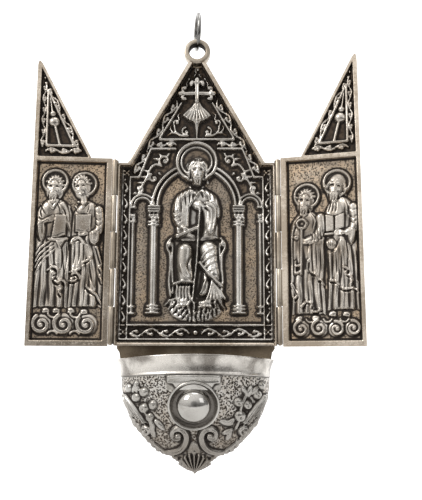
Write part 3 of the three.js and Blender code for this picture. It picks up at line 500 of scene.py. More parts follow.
def carveSeated(r):
    # cloak behind, from the throne's posts down to the footing
    r.panel([(-9.2, 41.0), (9.2, 41.0), (9.6, 20), (7, 15.5), (-7, 15.5), (-9.4, 20)], 0.3, 1.4, "over")
    r.panel([(-8.3, 47.0), (8.7, 47.6), (8.9, 40.2), (5.0, 39.4), (-5.0, 39.2), (-7.6, 40.2)], 1.7, 0.9, "over")
    for side in (-1, 1):
        r.stroke([(side * 9.3, 40.8), (side * 10.8, 38.9), (side * 10.9, 36.8), (side * 9.9, 34.6), (side * 9.7, 30.0),
                  (side * 10.1, 24.0), (side * 9.5, 19.0)], 0.62, 1.8, smooth=True)
        r.dome(side * 9.9, 38.6, 0.95, 1.4, 2.0, 20 * side)
        r.stroke([(side * 8.9, 39.0), (side * 8.9, 30.0), (side * 8.6, 20.0)], 0.5, 1.25, smooth=True)
    # trunk and shoulders
    r.panel([(-8.6, 49.0), (-8.7, 53.6), (-7.7, 56.8), (-5.4, 58.9), (-2.6, 60.8), (2.8, 60.8), (5.2, 59.2), (7.4, 57.0),
             (8.6, 53.6), (8.5, 48.6),
             (7.4, 43.2), (5.6, 40.2), (-5.2, 40.0), (-6.9, 43.5)], 2.2, 2.6, "over", smooth=True)
    r.stroke([(-2.6, 58.6), (-6.0, 56.4), (-7.2, 53.0), (-7.3, 50.0)], 2.1, 3.1, smooth=True, swell=lambda t: 0.8 + 0.2 * t)
    r.stroke([(2.8, 58.6), (5.9, 56.4), (7.1, 53.0), (7.2, 50.0)], 2.1, 3.1, smooth=True, swell=lambda t: 0.8 + 0.2 * t)
    r.panel([(-3.4, 53.0), (-1.6, 55.0), (0.0, 56.0), (2.6, 53.4), (3.9, 47.4), (3.0, 41.0), (-1.8, 41.5), (-3.7, 46.0)], -1.25,
            1.5, smooth=True)
    for points in (((-3.4, 60.1), (-4.2, 56.4), (-3.7, 52.6)), ((-4.9, 59.4), (-5.9, 55.6), (-5.5, 51.0)),
                   ((-6.3, 58.4), (-7.3, 54.8), (-7.0, 50.4)),
                   ((-7.6, 57.0), (-8.5, 53.6), (-8.3, 49.6)), ((-2.1, 60.2), (-2.5, 57.2), (-2.5, 54.0)),
                   ((-0.9, 58.4), (-1.2, 56.8), (-1.2, 55.2)),
                   ((1.5, 59.6), (2.2, 57.6), (2.7, 56.2)), ((2.8, 60.3), (4.0, 58.0), (4.3, 56.0)),
                   ((4.2, 59.9), (5.6, 57.4), (5.9, 55.2)), ((5.6, 59.0), (7.2, 56.4), (7.4, 53.6))):
        groove(r, points, 0.46, 0.85, lambda t: 0.45 + 0.55 * np.sin(np.pi * np.clip(t * 0.85 + 0.15, 0, 1)))
    for side in (-1, 1):         # collar
        r.stroke([(side * 2.4, 61.0), (side * 1.5, 59.2), (0.2, 57.2)], 0.55, 0.75, "round", "add", smooth=True)
        groove(r, [(side * 1.2, 60.9), (0.2, 58.6)], 0.4, 0.7)
    # hanging arm with its hand on a short roll
    r.stroke([(-7.2, 51.5), (-7.4, 48.0), (-6.2, 45.8), (-4.4, 44.6)], 1.9, 3.2, smooth=True, swell=lambda t: 1 - 0.4 * t)
    for points in (((-9.3, 51.2), (-7.8, 49.9), (-6.0, 50.8)), ((-9.2, 49.2), (-7.7, 48.0), (-5.8, 49.2)),
                   ((-8.8, 47.2), (-7.4, 46.3), (-5.6, 47.8)), ((-7.6, 45.4), (-6.4, 45.0), (-5.2, 46.4))):
        groove(r, points, 0.42, 0.8)
    r.stroke([(-6.9, 41.5), (0.2, 44.7)], 1.15, 3.1)
    r.dome(-6.9, 41.5, 1.35, 1.35, 3.25)
    r.dome(-7.1, 41.4, 0.6, 0.6, 0.5, 0, "soft", "cut")
    r.dome(-4.1, 44.2, 2.0, 1.5, 3.35, -25)
    for k in range(4):
        groove(r, [(-4.4 + 0.8 * k, 44.0 - 0.1 * k), (-4.3 + 0.85 * k, 42.4 - 0.1 * k)], 0.22, 0.5)
    # raised arm: the sleeve falls from the fist in long folds
    r.panel([(2.0, 54.8), (5.0, 56.0), (8.2, 54.0), (8.7, 47.6), (7.2, 42.2), (5.2, 41.2), (3.2, 43.4), (3.6, 50.4)], 3.1, 1.3,
            "over", smooth=True)
    for points in (((2.8, 52.6), (4.9, 51.0), (5.0, 46.6), (4.4, 43.0)), ((3.4, 53.8), (6.4, 52.0), (6.5, 47.0), (5.9, 42.4)),
                   ((4.4, 55.0), (7.9, 52.6), (7.9, 47.4), (7.2, 43.4))):
        groove(r, points, 0.5, 1.0, lambda t: 0.5 + 0.5 * np.sin(np.pi * np.clip(t + 0.1, 0, 1)))
    r.dome(0.8, 53.6, 2.75, 2.2, 3.15, -18)
    for k in range(3):
        groove(r, [(-0.6 + 0.85 * k, 55.4 - 0.2 * k), (-1.0 + 0.85 * k, 53.8 - 0.2 * k), (-0.7 + 0.8 * k, 52.2 - 0.1 * k)],
               0.24, 0.55)
    r.ring(1.8, 52.7, 1.1, 0.42, 0.4, mode="add")
    r.dome(1.8, 52.7, 0.66, 0.66, 0.5, form="soft", mode="cut")
    r.stroke([(1.4, 51.2), (0.9, 44.0), (0.6, 38.0), (0.1, 30.0), (-1.3, 16.8)], 0.62, 3.5, "round",
             swell=lambda t: 1 - 0.4 * t, smooth=True)
    # lap
    r.panel([(-6.4, 41.6), (8.0, 41.6), (8.2, 39.6), (-6.6, 39.4)], -0.5, 0.9)
    # nearer knee: a smooth sheet of cloth over the shin, with a band at its foot
    r.panel([(-1.3, 38.8), (-4.4, 39.4), (-6.7, 38.2), (-7.5, 35.6), (-7.2, 30.0), (-6.8, 24.2), (-1.1, 24.4), (-1.0, 32.0)],
            1.6, 1.3, "over", smooth=True)
    r.stroke([(-4.2, 36.2), (-4.4, 31.0), (-3.9, 25.8)], 3.1, 3.4, smooth=True)
    groove(r, [(-1.8, 33.6), (-3.2, 30.2), (-2.0, 27.2)], 0.7, 1.1)
    fold(r, [(-5.9, 30.6), (-4.6, 27.0), (-2.4, 25.4)], 0.8, 0.45)
    r.stroke([(-8.2, 23.2), (-5.0, 24.2), (-1.6, 24.0)], 0.85, 3.3, smooth=True)
    groove(r, [(-8.0, 22.2), (-5.0, 23.1), (-1.7, 22.9)], 0.3, 0.7, None)
    for k in range(5):
        x = -6.9 + 1.15 * k
        r.stroke([(x, 22.4), (x - 0.25, 20.0), (x + 0.1 * (k - 2), 17.2 + 0.2 * abs(k - 2))], 0.62, 2.5, smooth=True)
    # further knee: slanting folds, then a hem that fans out
    r.panel([(1.4, 38.8), (4.6, 40.0), (7.6, 39.0), (8.6, 36.0), (8.8, 30.0), (9.6, 24.6), (7.0, 23.4), (3.4, 28.6),
             (1.2, 30.0), (0.8, 34.6)], 1.7, 1.3, "over", smooth=True)
    r.stroke([(4.7, 36.4), (5.3, 32.0), (6.6, 27.2)], 3.6, 3.3, smooth=True, swell=lambda t: 1 - 0.25 * t)
    for k in range(4):
        y = 37.0 - 2.6 * k
        fold(r, [(8.2, y + 0.4), (5.4, y - 0.8), (2.9, y - 2.6), (1.9, y - 3.8)], 0.75, 0.6)
    r.stroke([(1.5, 31.4), (3.4, 28.8), (6.0, 26.0), (9.9, 22.4)], 0.75, 3.15, smooth=True)
    r.panel([(2.4, 29.4), (5.4, 25.6), (4.8, 19.0), (0.4, 18.4), (1.2, 22.2)], 2.5, 1.6, "over", smooth=True)
    for k in range(3):
        fold(r, [(4.6 - 0.5 * k, 26.6 - 1.2 * k), (3.1 - 0.4 * k, 23.0 - 1.1 * k), (2.2 - 0.6 * k, 19.6 - 0.2 * k)], 0.6, 0.5)
    for k in range(6):
        root, tip = (5.9 + 0.16 * k, 24.8 - 0.16 * k), (4.2 + 1.35 * k, 17.4 + 0.08 * k)
        r.stroke([root, ((root[0] + tip[0]) / 2 + 0.3, (root[1] + tip[1]) / 2), tip], 0.72, 2.7 - 0.1 * (k % 2),
                 swell=lambda t: 0.45 + 0.55 * t, smooth=True)
    # shaggy footing: rows of small hanging tufts
    tufts = random.Random(12)
    r.panel([(-10.6, 17.0), (-9.6, 12.4), (-5.0, 9.4), (5.0, 9.4), (9.6, 12.4), (10.6, 17.0), (7, 17.6), (-7, 17.6)], 0.6, 1.0,
            "over", smooth=True)
    for row, (low, wide, high) in enumerate(((10.2, 9.4, 1.5), (11.9, 10.0, 1.9), (13.6, 10.2, 2.2), (15.2, 9.6, 2.4))):
        for k in range(13 - row):
            q = -1 + 2 * (k + 0.5 * (row % 2)) / (12.5 - row)
            x, y = q * wide, low + (4.6 - row) * q * q + tufts.uniform(-0.35, 0.35)
            lean, long = q * 0.9 + tufts.uniform(-0.5, 0.5), tufts.uniform(0.8, 1.3)
            rise = high * tufts.uniform(0.75, 1.1)
            r.stroke([(x - 0.4 * lean, y + long), (x + 0.2 * lean, y), (x + lean, y - long * 0.8)], 0.78, rise, smooth=True,
                     swell=lambda t: 1 - 0.75 * t)
            r.stroke([(x + 0.55 - 0.4 * lean, y + long), (x + 0.5 + lean, y - long)], 0.26, 1.2, "soft", "cut")
    for x, y, w in ((-4.5, 16.1, 2.1), (3.9, 15.6, 2.7)):       # feet
        r.dome(x, y + 0.6, w, 1.6, 2.6)
        for k in range(4):
            r.dome(x - w * 0.66 + w * 0.44 * k, y - 0.6 - 0.1 * abs(k - 1.5), w * 0.25, 0.75, 2.9)

def carveCase(r):
    carveBorders(r)
    carveSpandrels(r)
    carveArches(r)
    carveFrame(r)
    # the wide halo of the seated figure
    r.dome(0, 70.9, 8.5, 8.5, 0.001, form="flat", mode="set")
    r.dome(0, 70.9, 8.4, 8.4, 0.45, form="flat")
    r.ring(0, 70.9, 7.6, 0.85, 2.1)
    r.ring(0, 70.9, 5.9, 0.5, 1.5)
    carveCross(r)
    carveSeated(r)
    face(r, 0.5, 66.6, 4.1, case["ground"], 3.75, 0.0, -3, 0.62, "long")

door = {"ground": -1.8, "hinge": 1.06, "free": 30.8, "height": 71.2, "gableFoot": 9.0, "apex": 112.4,
        "thick": 2.8, "highest": 0.25, "tip": ((28.46, 107.98), (30.8, 112.4), (30.8, 107.4)),
        "columns": 122, "hingeColumns": 44, "bodyRows": 400, "gableRows": 218}
doorSlope = (door["apex"] - door["height"]) / (door["free"] - door["gableFoot"])

def slopeAt(y, inset=0.0):
    return door["free"] - (door["apex"] - y) / doorSlope + inset * math.hypot(1, doorSlope) / doorSlope

def carveDoorFrame(r):
    up = -door["ground"]
    def slab(outline, soft=0.32):
        r.panel(outline, up, soft, "over")
    top, foot = door["height"], 0
    slab([(-2, foot - 3), (3.5, foot - 3), (3.5, top + 3), (-2, top + 3)])
    slab([(29.0, -3), (34, -3), (34, 120), (29.0, 120)])
    slab([(-2, -3), (34, -3), (34, 2.4), (-2, 2.4)])
    slab([(-2, 69.5), (34, 69.5), (34, 71.9), (-2, 71.9)])
    a, b = slopeAt(70.6), slopeAt(114)
    slab([(a - 4, 70.6), (a + 1.42, 70.6), (b + 1.42, 114), (b - 4, 114)])
    r.stroke([(3.55, 2.4), (3.55, 69.5), (29.0, 69.5), (29.0, 2.4), (3.55, 2.4)], 0.3, 0.22, "soft", "cut")

def carveDoorGable(r):
    high = 1.35
    r.stroke([(26.5, 98.4), (26.3, 76.1), (15.9, 76.1), (26.5, 98.4)], 0.68, 1.5)
    # pilgrim's staff with its gourd
    r.stroke([(25.6, 95.4), (24.9, 91.2), (24.5, 89.0)], 0.6, 1.6, swell=lambda t: 0.55 + 0.45 * t, smooth=True)
    r.stroke([(23.5, 84.6), (21.4, 76.6)], 0.75, 1.5)
    r.dome(24.4, 88.8, 1.35, 1.35, 1.8)
    r.dome(23.8, 85.6, 2.3, 2.2, 2.0)
    groove(r, [(22.0, 83.9), (23.8, 83.6), (25.4, 84.2)], 0.3, 0.5)
    # leaves all round
    runningScroll(r, (27.75, 101.6), (27.75, 75.4), 6, 0.7, 0.42, high, 1)
    m = lambda v: slopeAt(v) + 2.75
    runningScroll(r, (m(100.8), 100.8), (m(75.2), 75.2), 5, 0.9, 0.5, high, -1)
    runningScroll(r, (26.6, 74.0), (13.0, 74.0), 3, 0.9, 0.5, high, 1)
    r.dome(28.0, 103.4, 0.55, 0.6, high)
    r.dome(27.4, 101.2, 0.7, 0.7, high)

def wave(r, x, y, radius, way=1, start=120, high=1.45):
    r.dome(x, y, radius * 1.08, radius * 1.08, 0.55, form="flat", mode="set")
    path = curlPath(x, y, radius * 0.92, start, way * 560, 0.1, 40)
    r.stroke(path, radius * 0.22, high, swell=lambda t: 1 - 0.3 * t)
    groove(r, path[:26], radius * 0.05, 0.35, None)
    r.dome(x, y, radius * 0.2, radius * 0.2, high)

def ruffle(r, points, half=0.6, high=0.75):      # a curling edge of cloth with its shadow under it
    p = np.array(points, float)
    r.stroke([tuple(q) for q in p + np.array([0.35, -0.75])], half * 0.8, high * 1.0, "soft", "cut", smooth=True)
    r.stroke(points, half, high, "round", "add", smooth=True)

def hand(r, x, y, angle, size=1.0, high=2.0, fingers=4):
    c, s = math.cos(math.radians(angle)), math.sin(math.radians(angle))
    def at(u, v):
        return x + size * (u * c - v * s), y + size * (u * s + v * c)
    r.dome(*at(-0.5, 0), size * 1.3, size * 0.95, high * 0.97, angle)
    for k in range(fingers):
        v = (k - (fingers - 1) / 2) * 0.46
        r.stroke([at(-0.2, v * 0.9), at(1.0, v * 1.1), at(2.3 - 0.25 * abs(v), v * 1.1 - 0.15)], size * 0.3, high + 0.05,
                 smooth=True, swell=lambda t: 1 - 0.3 * t)

def foot(r, x, y, lean=0, high=1.35):
    r.dome(x, y + 0.2, 1.5, 1.0, high * 0.75, lean)
    for k in range(4):
        r.dome(x - 1.0 + 0.65 * k, y - 0.3 - 0.08 * k, 0.34, 0.42, high * 0.8)

def saintWithBook(r):        # the bearded one, outermost on the left door
    halo(r, 22.4, 61.8, 5.2, 1.35, 1.25)
    robe(r, [(15.8, 56), (15.5, 48), (15.4, 43.5), (16.6, 36.7), (16.0, 27.6), (16.2, 18.1), (16.3, 12)],
         [(28.9, 56), (29.1, 48), (29.0, 36), (28.8, 22), (28.9, 12)], 55.6, 13.8, 1.35, 0.95,
         ((-0.78, 0.2, 0.1, 0.8), (-0.3, 0.3, 0.13, 1.0), (0.08, 0.3, 0.1, 0.7), (0.3, -0.15, 0.14, 1.0),
          (0.72, -0.3, 0.11, 0.9)))
    # the fold of cloak from the far shoulder, over the arm and down in front
    r.panel([(16.2, 52.4), (19.0, 54.6), (21.0, 52.6), (19.6, 49.2), (17.2, 44.0), (15.6, 42.0), (15.6, 47.0)], 0.35, 0.7,
            smooth=True)
    groove(r, [(20.6, 53.8), (18.4, 50.4), (17.0, 46.0)], 0.4, 0.6)
    groove(r, [(18.2, 54.0), (16.6, 50.0), (16.2, 45.4)], 0.36, 0.5)
    for x in (21.0, 25.0):
        groove(r, [(x, 55.0), (22.9, 51.8)], 0.4, 0.6)
    r.stroke([(21.0, 54.8), (22.9, 51.4), (25.0, 54.6)], 0.4, 0.4, "round", "add")
    groove(r, [(26.6, 53.2), (27.4, 50.0), (26.6, 47.6)], 0.36, 0.5)
    for k in range(4):           # slanting folds round the hip
        fold(r, [(22.4 - 0.3 * k, 39.6 - 1.3 * k), (25.8, 37.4 - 1.9 * k), (28.9, 33.8 - 2.7 * k)], 0.75, 0.55)
    groove(r, [(19.4, 38.4), (18.6, 33.0), (19.0, 28.0)], 0.42, 0.6)
    groove(r, [(17.4, 38.0), (17.0, 33.0), (17.4, 27.0)], 0.36, 0.5)
    fold(r, [(27.4, 53.2), (25.8, 50.6), (24.6, 48.8)], 0.6, 0.45)
    fold(r, [(20.6, 53.0), (19.8, 51.2), (19.6, 49.4)], 0.5, 0.4)
    # near sleeve: wide and hanging
    r.panel([(28.9, 50), (29.3, 44), (28.6, 40), (26.8, 37.8), (24.8, 39.4), (24.2, 43.4), (25.2, 46.6), (27.2, 48.2)], 1.95,
            1.5, "over", smooth=True)
    groove(r, [(27.8, 46.8), (28.2, 43.4), (27.4, 40.0)], 0.4, 0.6)
    groove(r, [(26.2, 45.4), (26.4, 42.6), (25.8, 40.4)], 0.4, 0.6)
    r.stroke([(27.6, 45.2), (26.2, 46.1), (24.6, 47.0)], 1.15, 2.0, smooth=True)
    # book, the hand on its corner and the cloth under it
    r.panel([(21.9, 49.2), (17.4, 49.0), (17.5, 41.0), (23.2, 39.6)], 1.8, 0.35, "over")
    groove(r, [(22.2, 47.0), (22.9, 40.6), (18.0, 41.9)], 0.16, 0.25, None)
    hand(r, 24.2, 46.9, 158, 1.05, 1.98)
    r.stroke([(23.9, 39.6), (21.4, 39.4), (17.2, 39.8)], 0.75, 1.95, smooth=True)
    r.panel([(22.2, 39.6), (17.1, 39.6), (19.8, 34.8)], 1.85, 0.8, "over")
    groove(r, [(21.0, 39.0), (19.9, 36.0)], 0.26, 0.6)
    groove(r, [(18.8, 39.0), (19.6, 36.0)], 0.26, 0.6)
    ruffle(r, [(23.6, 28.0), (22.0, 29.2), (20.2, 28.2), (20.4, 26.0), (21.4, 24.6), (19.8, 23.2), (18.2, 24.2), (17.2, 22.6),
               (18.0, 21.0), (19.2, 19.8), (18.4, 18.6)])
    r.dome(21.4, 26.9, 0.8, 0.8, 0.6, mode="add")
    r.dome(18.9, 21.9, 0.8, 0.8, 0.6, mode="add")
    foot(r, 23.9, 12.9)
    foot(r, 20.1, 12.9)
    face(r, 22.5, 59.0, 3.8, door["ground"], 2.0, 0.08, 3, 0.6, "short")

def youngSaint(r):           # beardless, turned towards the other
    halo(r, 11.4, 61.1, 5.0, 1.25, 1.25)
    r.stroke([(11.9, 57.6), (11.3, 53.8)], 1.5, 1.5)
    robe(r, [(4.3, 56), (4.3, 44), (5.4, 38), (3.8, 30), (3.2, 25), (3.4, 12)],
         [(15.4, 56), (15.6, 44.5), (16.0, 39), (15.4, 31), (15.7, 25), (16.2, 12)],
         54.6, 14.0, 1.35, 0.95, ((-0.7, 0.3, 0.12, 0.9), (-0.2, 0.25, 0.14, 1.0), (0.1, -0.1, 0.08, 0.7),
                                  (0.46, -0.2, 0.14, 1.0), (0.8, -0.3, 0.09, 0.8)))
    groove(r, [(13.4, 54.0), (12.0, 50.6)], 0.4, 0.6)
    groove(r, [(9.4, 54.4), (11.6, 50.8)], 0.4, 0.6)
    r.stroke([(9.6, 54.4), (11.6, 53.2), (13.4, 54.2)], 0.5, 0.5, "round", "add", smooth=True)
    groove(r, [(7.4, 53.4), (7.0, 50.6), (7.4, 48.2)], 0.36, 0.5)
    fold(r, [(14.6, 52.6), (13.6, 51.2), (13.4, 49.6)], 0.5, 0.4)
    fold(r, [(9.0, 53.2), (9.0, 51.4), (9.6, 49.8)], 0.5, 0.4)
    # far arm in its creased sleeve
    r.stroke([(5.7, 51.2), (5.2, 46.6), (5.6, 43.2), (7.6, 41.8)], 1.75, 2.0, smooth=True)
    for k, y in enumerate((50.6, 48.0, 46.2, 43.6)):
        groove(r, [(3.9 + 0.2 * k, y), (5.4, y - 1.1 - 0.2 * k), (6.9, y - 0.2)], 0.32, 0.32 + 0.08 * k)
    r.panel([(4.4, 42.8), (7.4, 43.2), (9.6, 42.6), (9.2, 38.2), (6.8, 37.0), (4.6, 38.8)], 1.95, 1.2, "over", smooth=True)
    groove(r, [(7.9, 42.2), (8.0, 38.6)], 0.36, 0.7)
    groove(r, [(6.2, 42.2), (6.4, 38.4)], 0.36, 0.7)
    # book with the hand across its foot
    r.panel([(14.5, 49.3), (8.2, 49.3), (8.4, 42.3), (14.4, 42.2)], 1.8, 0.35, "over")
    groove(r, [(8.9, 48.7), (9.1, 43.0), (13.8, 42.9)], 0.16, 0.25, None)
    hand(r, 10.6, 42.0, 4, 1.05, 1.98)
    # near hand under a turned edge of cloth
    r.stroke([(15.5, 38.2), (14.6, 39.8), (12.6, 40.1), (10.8, 38.4)], 0.85, 1.95, smooth=True)
    r.dome(14.3, 39.7, 1.3, 1.0, 2.0)
    r.panel([(15.7, 38.7), (15.6, 27.2), (13.4, 27.8), (11.1, 29.0), (10.5, 31.2), (8.1, 32.8), (8.8, 37.4), (12.0, 39.4)],
            0.35, 0.5)
    for x0, x1 in ((14.2, 14.6), (12.6, 12.8), (11.0, 10.9)):
        groove(r, [(x0, 38.2), ((x0 + x1) / 2 - 0.2, 33.6), (x1, 29.6)], 0.4, 0.65)
    ruffle(r, [(15.6, 27.4), (13.4, 27.8), (11.4, 28.8), (10.7, 30.9), (9.2, 31.8), (8.0, 32.8)], 0.5, 0.55)
    ruffle(r, [(15.7, 24.0), (13.8, 24.0), (12.0, 25.4), (13.2, 27.0), (14.8, 26.4)], 0.6, 0.7)
    ruffle(r, [(6.0, 36.8), (4.9, 33.0), (4.0, 30.6), (4.7, 29.0), (3.8, 27.2), (4.5, 25.4), (3.8, 23.4)], 0.5, 0.55)
    ruffle(r, [(9.4, 22.0), (7.6, 20.2), (5.8, 19.2), (5.0, 17.2), (3.9, 15.8)], 0.5, 0.5)
    groove(r, [(8.6, 31.4), (8.0, 26.0), (6.4, 21.0)], 0.42, 0.6)
    foot(r, 14.7, 12.9, 20)
    foot(r, 10.0, 12.5)
    face(r, 12.1, 59.5, 3.65, door["ground"], 2.0, 0.2, -6, 0.0, "short")

def saintWithKey(r):         # the lower one by the hinge of the right door
    halo(r, 10.6, 55.9, 5.1, 1.25, 1.25)
    robe(r, [(4.3, 51), (3.9, 42), (4.0, 32), (3.6, 23), (4.4, 16), (4.0, 9)],
         [(16.6, 51), (16.9, 42), (16.9, 34), (16.4, 23), (16.7, 9)],
         50.4, 11.4, 1.35, 0.95, ((-0.78, 0.25, 0.1, 0.8), (-0.3, 0.25, 0.15, 1.0), (0.02, 0.12, 0.09, 0.7),
                                  (0.4, -0.2, 0.15, 1.0), (0.8, -0.2, 0.09, 0.8)))
    for k in range(3):
        groove(r, [(10.0 - 0.3 * k, 49.6 - 0.5 * k), (7.6 - 0.3 * k, 47.2 - 0.9 * k), (6.0 - 0.3 * k, 43.8 - 1.2 * k)], 0.36,
               0.55)
    fold(r, [(11.6, 49.8), (13.6, 46.4), (13.0, 43.0)], 0.6, 0.5)
    # sleeve and hands on the shaft
    r.stroke([(15.5, 47.4), (15.7, 43.0), (13.6, 40.0), (11.0, 38.8)], 1.9, 2.0, smooth=True)
    for k in range(4):
        groove(r, [(11.8 + 1.25 * k, 41.4 + 0.7 * k), (12.6 + 1.0 * k, 39.8 + 0.5 * k), (12.0 + 1.3 * k, 37.8 + 0.3 * k)], 0.34,
               0.65)
    r.panel([(10.9, 38.4), (16.6, 39.6), (16.8, 30), (15.9, 22.4), (14.0, 24.4), (11.9, 26.6), (10.8, 28.2), (10.6, 34)], 0.4,
            0.5)
    for x0, x1 in ((12.2, 12.4), (13.8, 14.0), (15.3, 15.4)):
        groove(r, [(x0, 37.2), (x0 - 0.1, 32.0), (x1, 26.6)], 0.42, 0.65)
    ruffle(r, [(10.7, 31.4), (10.5, 28.6), (11.6, 26.9), (13.0, 26.2), (14.2, 24.2), (15.3, 24.0), (16.0, 22.2)], 0.55, 0.6)
    r.stroke([(8.5, 43.8), (8.0, 26.6)], 0.72, 2.0)
    r.ring(8.6, 45.2, 1.7, 0.72, 2.05)
    r.dome(6.7, 45.3, 0.85, 1.0, 2.0)
    r.dome(10.5, 45.2, 0.85, 1.0, 2.0)
    r.stroke([(7.9, 27.4), (5.9, 26.9)], 0.62, 2.0)
    r.stroke([(7.9, 29.8), (6.0, 29.5)], 0.58, 1.95)
    r.stroke([(6.0, 31.2), (5.8, 26.6)], 0.5, 1.9)
    hand(r, 10.2, 38.4, 172, 1.0, 2.0)
    r.dome(6.4, 40.2, 1.5, 1.2, 1.95)
    groove(r, [(5.6, 41.0), (7.6, 40.6)], 0.16, 0.35)
    groove(r, [(5.6, 40.2), (7.6, 39.8)], 0.16, 0.35)
    fold(r, [(5.0, 43.0), (4.6, 37.0), (4.6, 30.4)], 0.6, 0.5)
    # lower folds and turned hems
    ruffle(r, [(4.2, 23.0), (5.4, 20.6), (6.2, 18.6), (5.2, 17.4)], 0.55, 0.6)
    ruffle(r, [(8.2, 14.6), (9.6, 16.4), (11.4, 15.2), (11.2, 13.2), (13.0, 12.6), (14.8, 13.4)], 0.55, 0.6)
    foot(r, 6.8, 10.0, 25)
    foot(r, 12.9, 10.2, -10)
    face(r, 10.1, 53.4, 3.75, door["ground"], 2.0, -0.12, -8, 0.6, "short")

def saintWithOpenBook(r):    # the tall bald one at the right
    halo(r, 21.9, 60.3, 5.45, 1.35, 1.25)
    robe(r, [(17.0, 56), (17.3, 43), (17.6, 36), (18.0, 25), (17.2, 10)],
         [(28.8, 56), (29.2, 44), (28.8, 37), (29.0, 28), (29.0, 10)],
         55.2, 12.8, 1.35, 0.95, ((-0.74, 0.15, 0.12, 0.9), (-0.32, 0.2, 0.14, 1.0), (0.04, 0.1, 0.09, 0.7),
                                  (0.32, -0.12, 0.14, 1.0), (0.74, -0.25, 0.1, 0.9)))
    for k in range(3):
        groove(r, [(19.4 + 1.1 * k, 53.2 + 0.2 * k), (19.0 + 1.2 * k, 50.8), (18.4 + 1.4 * k, 49.0)], 0.34, 0.55)
    fold(r, [(24.4, 54.0), (25.2, 50.8), (25.2, 48.0)], 0.6, 0.5)
    groove(r, [(26.8, 52.8), (27.6, 49.6), (27.2, 47.0)], 0.36, 0.5)
    # near arm
    r.stroke([(27.5, 50.8), (28.0, 46.4), (27.4, 42.8), (25.4, 41.4)], 1.8, 2.0, smooth=True)
    for k, y in enumerate((50.4, 47.8, 46.0, 43.4)):
        groove(r, [(29.2 - 0.2 * k, y), (27.7, y - 1.1 - 0.2 * k), (26.1, y - 0.2)], 0.32, 0.32 + 0.08 * k)
    r.panel([(24.6, 42.8), (28.6, 43.4), (28.4, 38.4), (26.4, 36.0), (24.8, 38.4)], 1.95, 1.2, "over", smooth=True)
    groove(r, [(26.2, 42.2), (26.4, 38.2)], 0.36, 0.7)
    # open book
    r.panel([(17.2, 48.7), (20.7, 47.6), (20.6, 42.0), (17.2, 41.6)], 1.75, 0.35, "over")
    r.panel([(20.7, 47.6), (24.5, 48.9), (24.4, 43.0), (20.6, 42.0)], 1.85, 0.35, "over")
    groove(r, [(20.65, 47.6), (20.6, 42.2)], 0.4, 0.7, None)
    hand(r, 23.0, 41.4, 176, 1.1, 1.98)
    r.stroke([(17.2, 40.9), (19.8, 41.1)], 0.65, 1.85)
    r.dome(19.3, 37.4, 2.2, 2.4, 1.95, 20)
    for k in range(3):
        groove(r, [(17.8 + k * 1.3, 39.2), (18.3 + 0.9 * k, 37.0), (18.9 + 0.3 * k, 35.4)], 0.26, 0.45)
    # cloak bands with turned edges
    r.panel([(24.0, 40.0), (25.2, 37.0), (26.2, 28.0), (26.6, 21.2), (23.0, 20.6), (21.2, 22.8), (18.2, 23.8), (18.0, 34.0),
             (20.8, 35.0), (22.0, 38.6)], 0.32, 0.5)
    for x0, x1 in ((19.4, 19.2), (21.0, 20.9), (22.8, 22.6)):
        groove(r, [(x0, 34.0), (x0, 29.4), (x1, 24.6)], 0.42, 0.65)
    groove(r, [(24.6, 38.0), (25.2, 33.0), (24.8, 28.8)], 0.42, 0.65)
    ruffle(r, [(23.4, 28.6), (24.8, 27.8), (24.2, 26.2), (25.6, 25.2), (26.4, 23.4), (25.6, 21.8)], 0.55, 0.6)
    ruffle(r, [(18.2, 23.9), (20.0, 23.5), (21.2, 22.6), (22.2, 21.0), (24.2, 20.6), (26.4, 21.0), (27.8, 20.0), (29.0, 18.2)],
           0.5, 0.55)
    fold(r, [(27.6, 35.6), (28.0, 29.0), (27.8, 22.4)], 0.6, 0.5)
    foot(r, 19.0, 11.6, 15)
    foot(r, 24.0, 11.4, -10)
    face(r, 21.6, 58.2, 3.9, door["ground"], 2.0, -0.1, -14, 0.55, "fringe")

def carveLeftDoor(r):
    carveDoorGable(r)
    wave(r, 25.3, 7.9, 3.9, -1, 60)
    wave(r, 17.2, 7.9, 4.3, -1, 60)
    wave(r, 9.0, 7.9, 4.1, -1, 40)
    for x in (21.2, 13.1):
        r.stroke(arcPath(x, 12.4, 1.9, 200, 340), 0.5, 1.0)
        r.stroke(arcPath(x, 3.6, 1.9, 30, 150), 0.5, 1.0)
    youngSaint(r)
    saintWithBook(r)
    carveDoorFrame(r)

def carveRightDoor(r):
    carveDoorGable(r)
    for x, y, radius, way in ((7.6, 6.4, 3.3, 1), (14.1, 6.6, 3.3, 1), (20.3, 6.3, 3.1, -1), (26.2, 6.5, 3.1, -1)):
        wave(r, x, y, radius, way, 100)
    for x in (11.0, 17.2, 23.2):
        r.stroke(arcPath(x, 10.4, 1.6, 200, 340), 0.45, 1.0)
    saintWithKey(r)
    saintWithOpenBook(r)
    carveDoorFrame(r)

# sheets that are carved, given an edge and closed behind
def sheet(columns, rows):    # a flat grid with its places from 0 to 1
    bm = bmesh.new()
    bmesh.ops.create_grid(bm, x_segments=columns, y_segments=rows, size=0.5, matrix=Matrix.Translation((0.5, 0.5, 0)))
    co = np.array([v.co[:2] for v in bm.verts])
    across = np.rint(co[:, 0] * columns).astype(int)
    up = np.rint(co[:, 1] * rows).astype(int)
    return bm, across, up

def paint(bm, name, values):             # one number for each point, for the shaders
    layer = bm.verts.layers.float.get(name) or bm.verts.layers.float.new(name)
    for v, value in zip(bm.verts, values):
        v[layer] = value

def hollows(h, near, wide, depth):       # how deep a place lies among its neighbours, 0 to 1
    fine = (blurred(h, near) - h) / depth
    broad = (blurred(h, wide) - h) / (depth * 2.2)
    return np.clip(0.5 + 0.8 * np.clip(fine, -1, 0.42) + 0.35 * np.clip(broad, -1, 0.5), 0, 1)

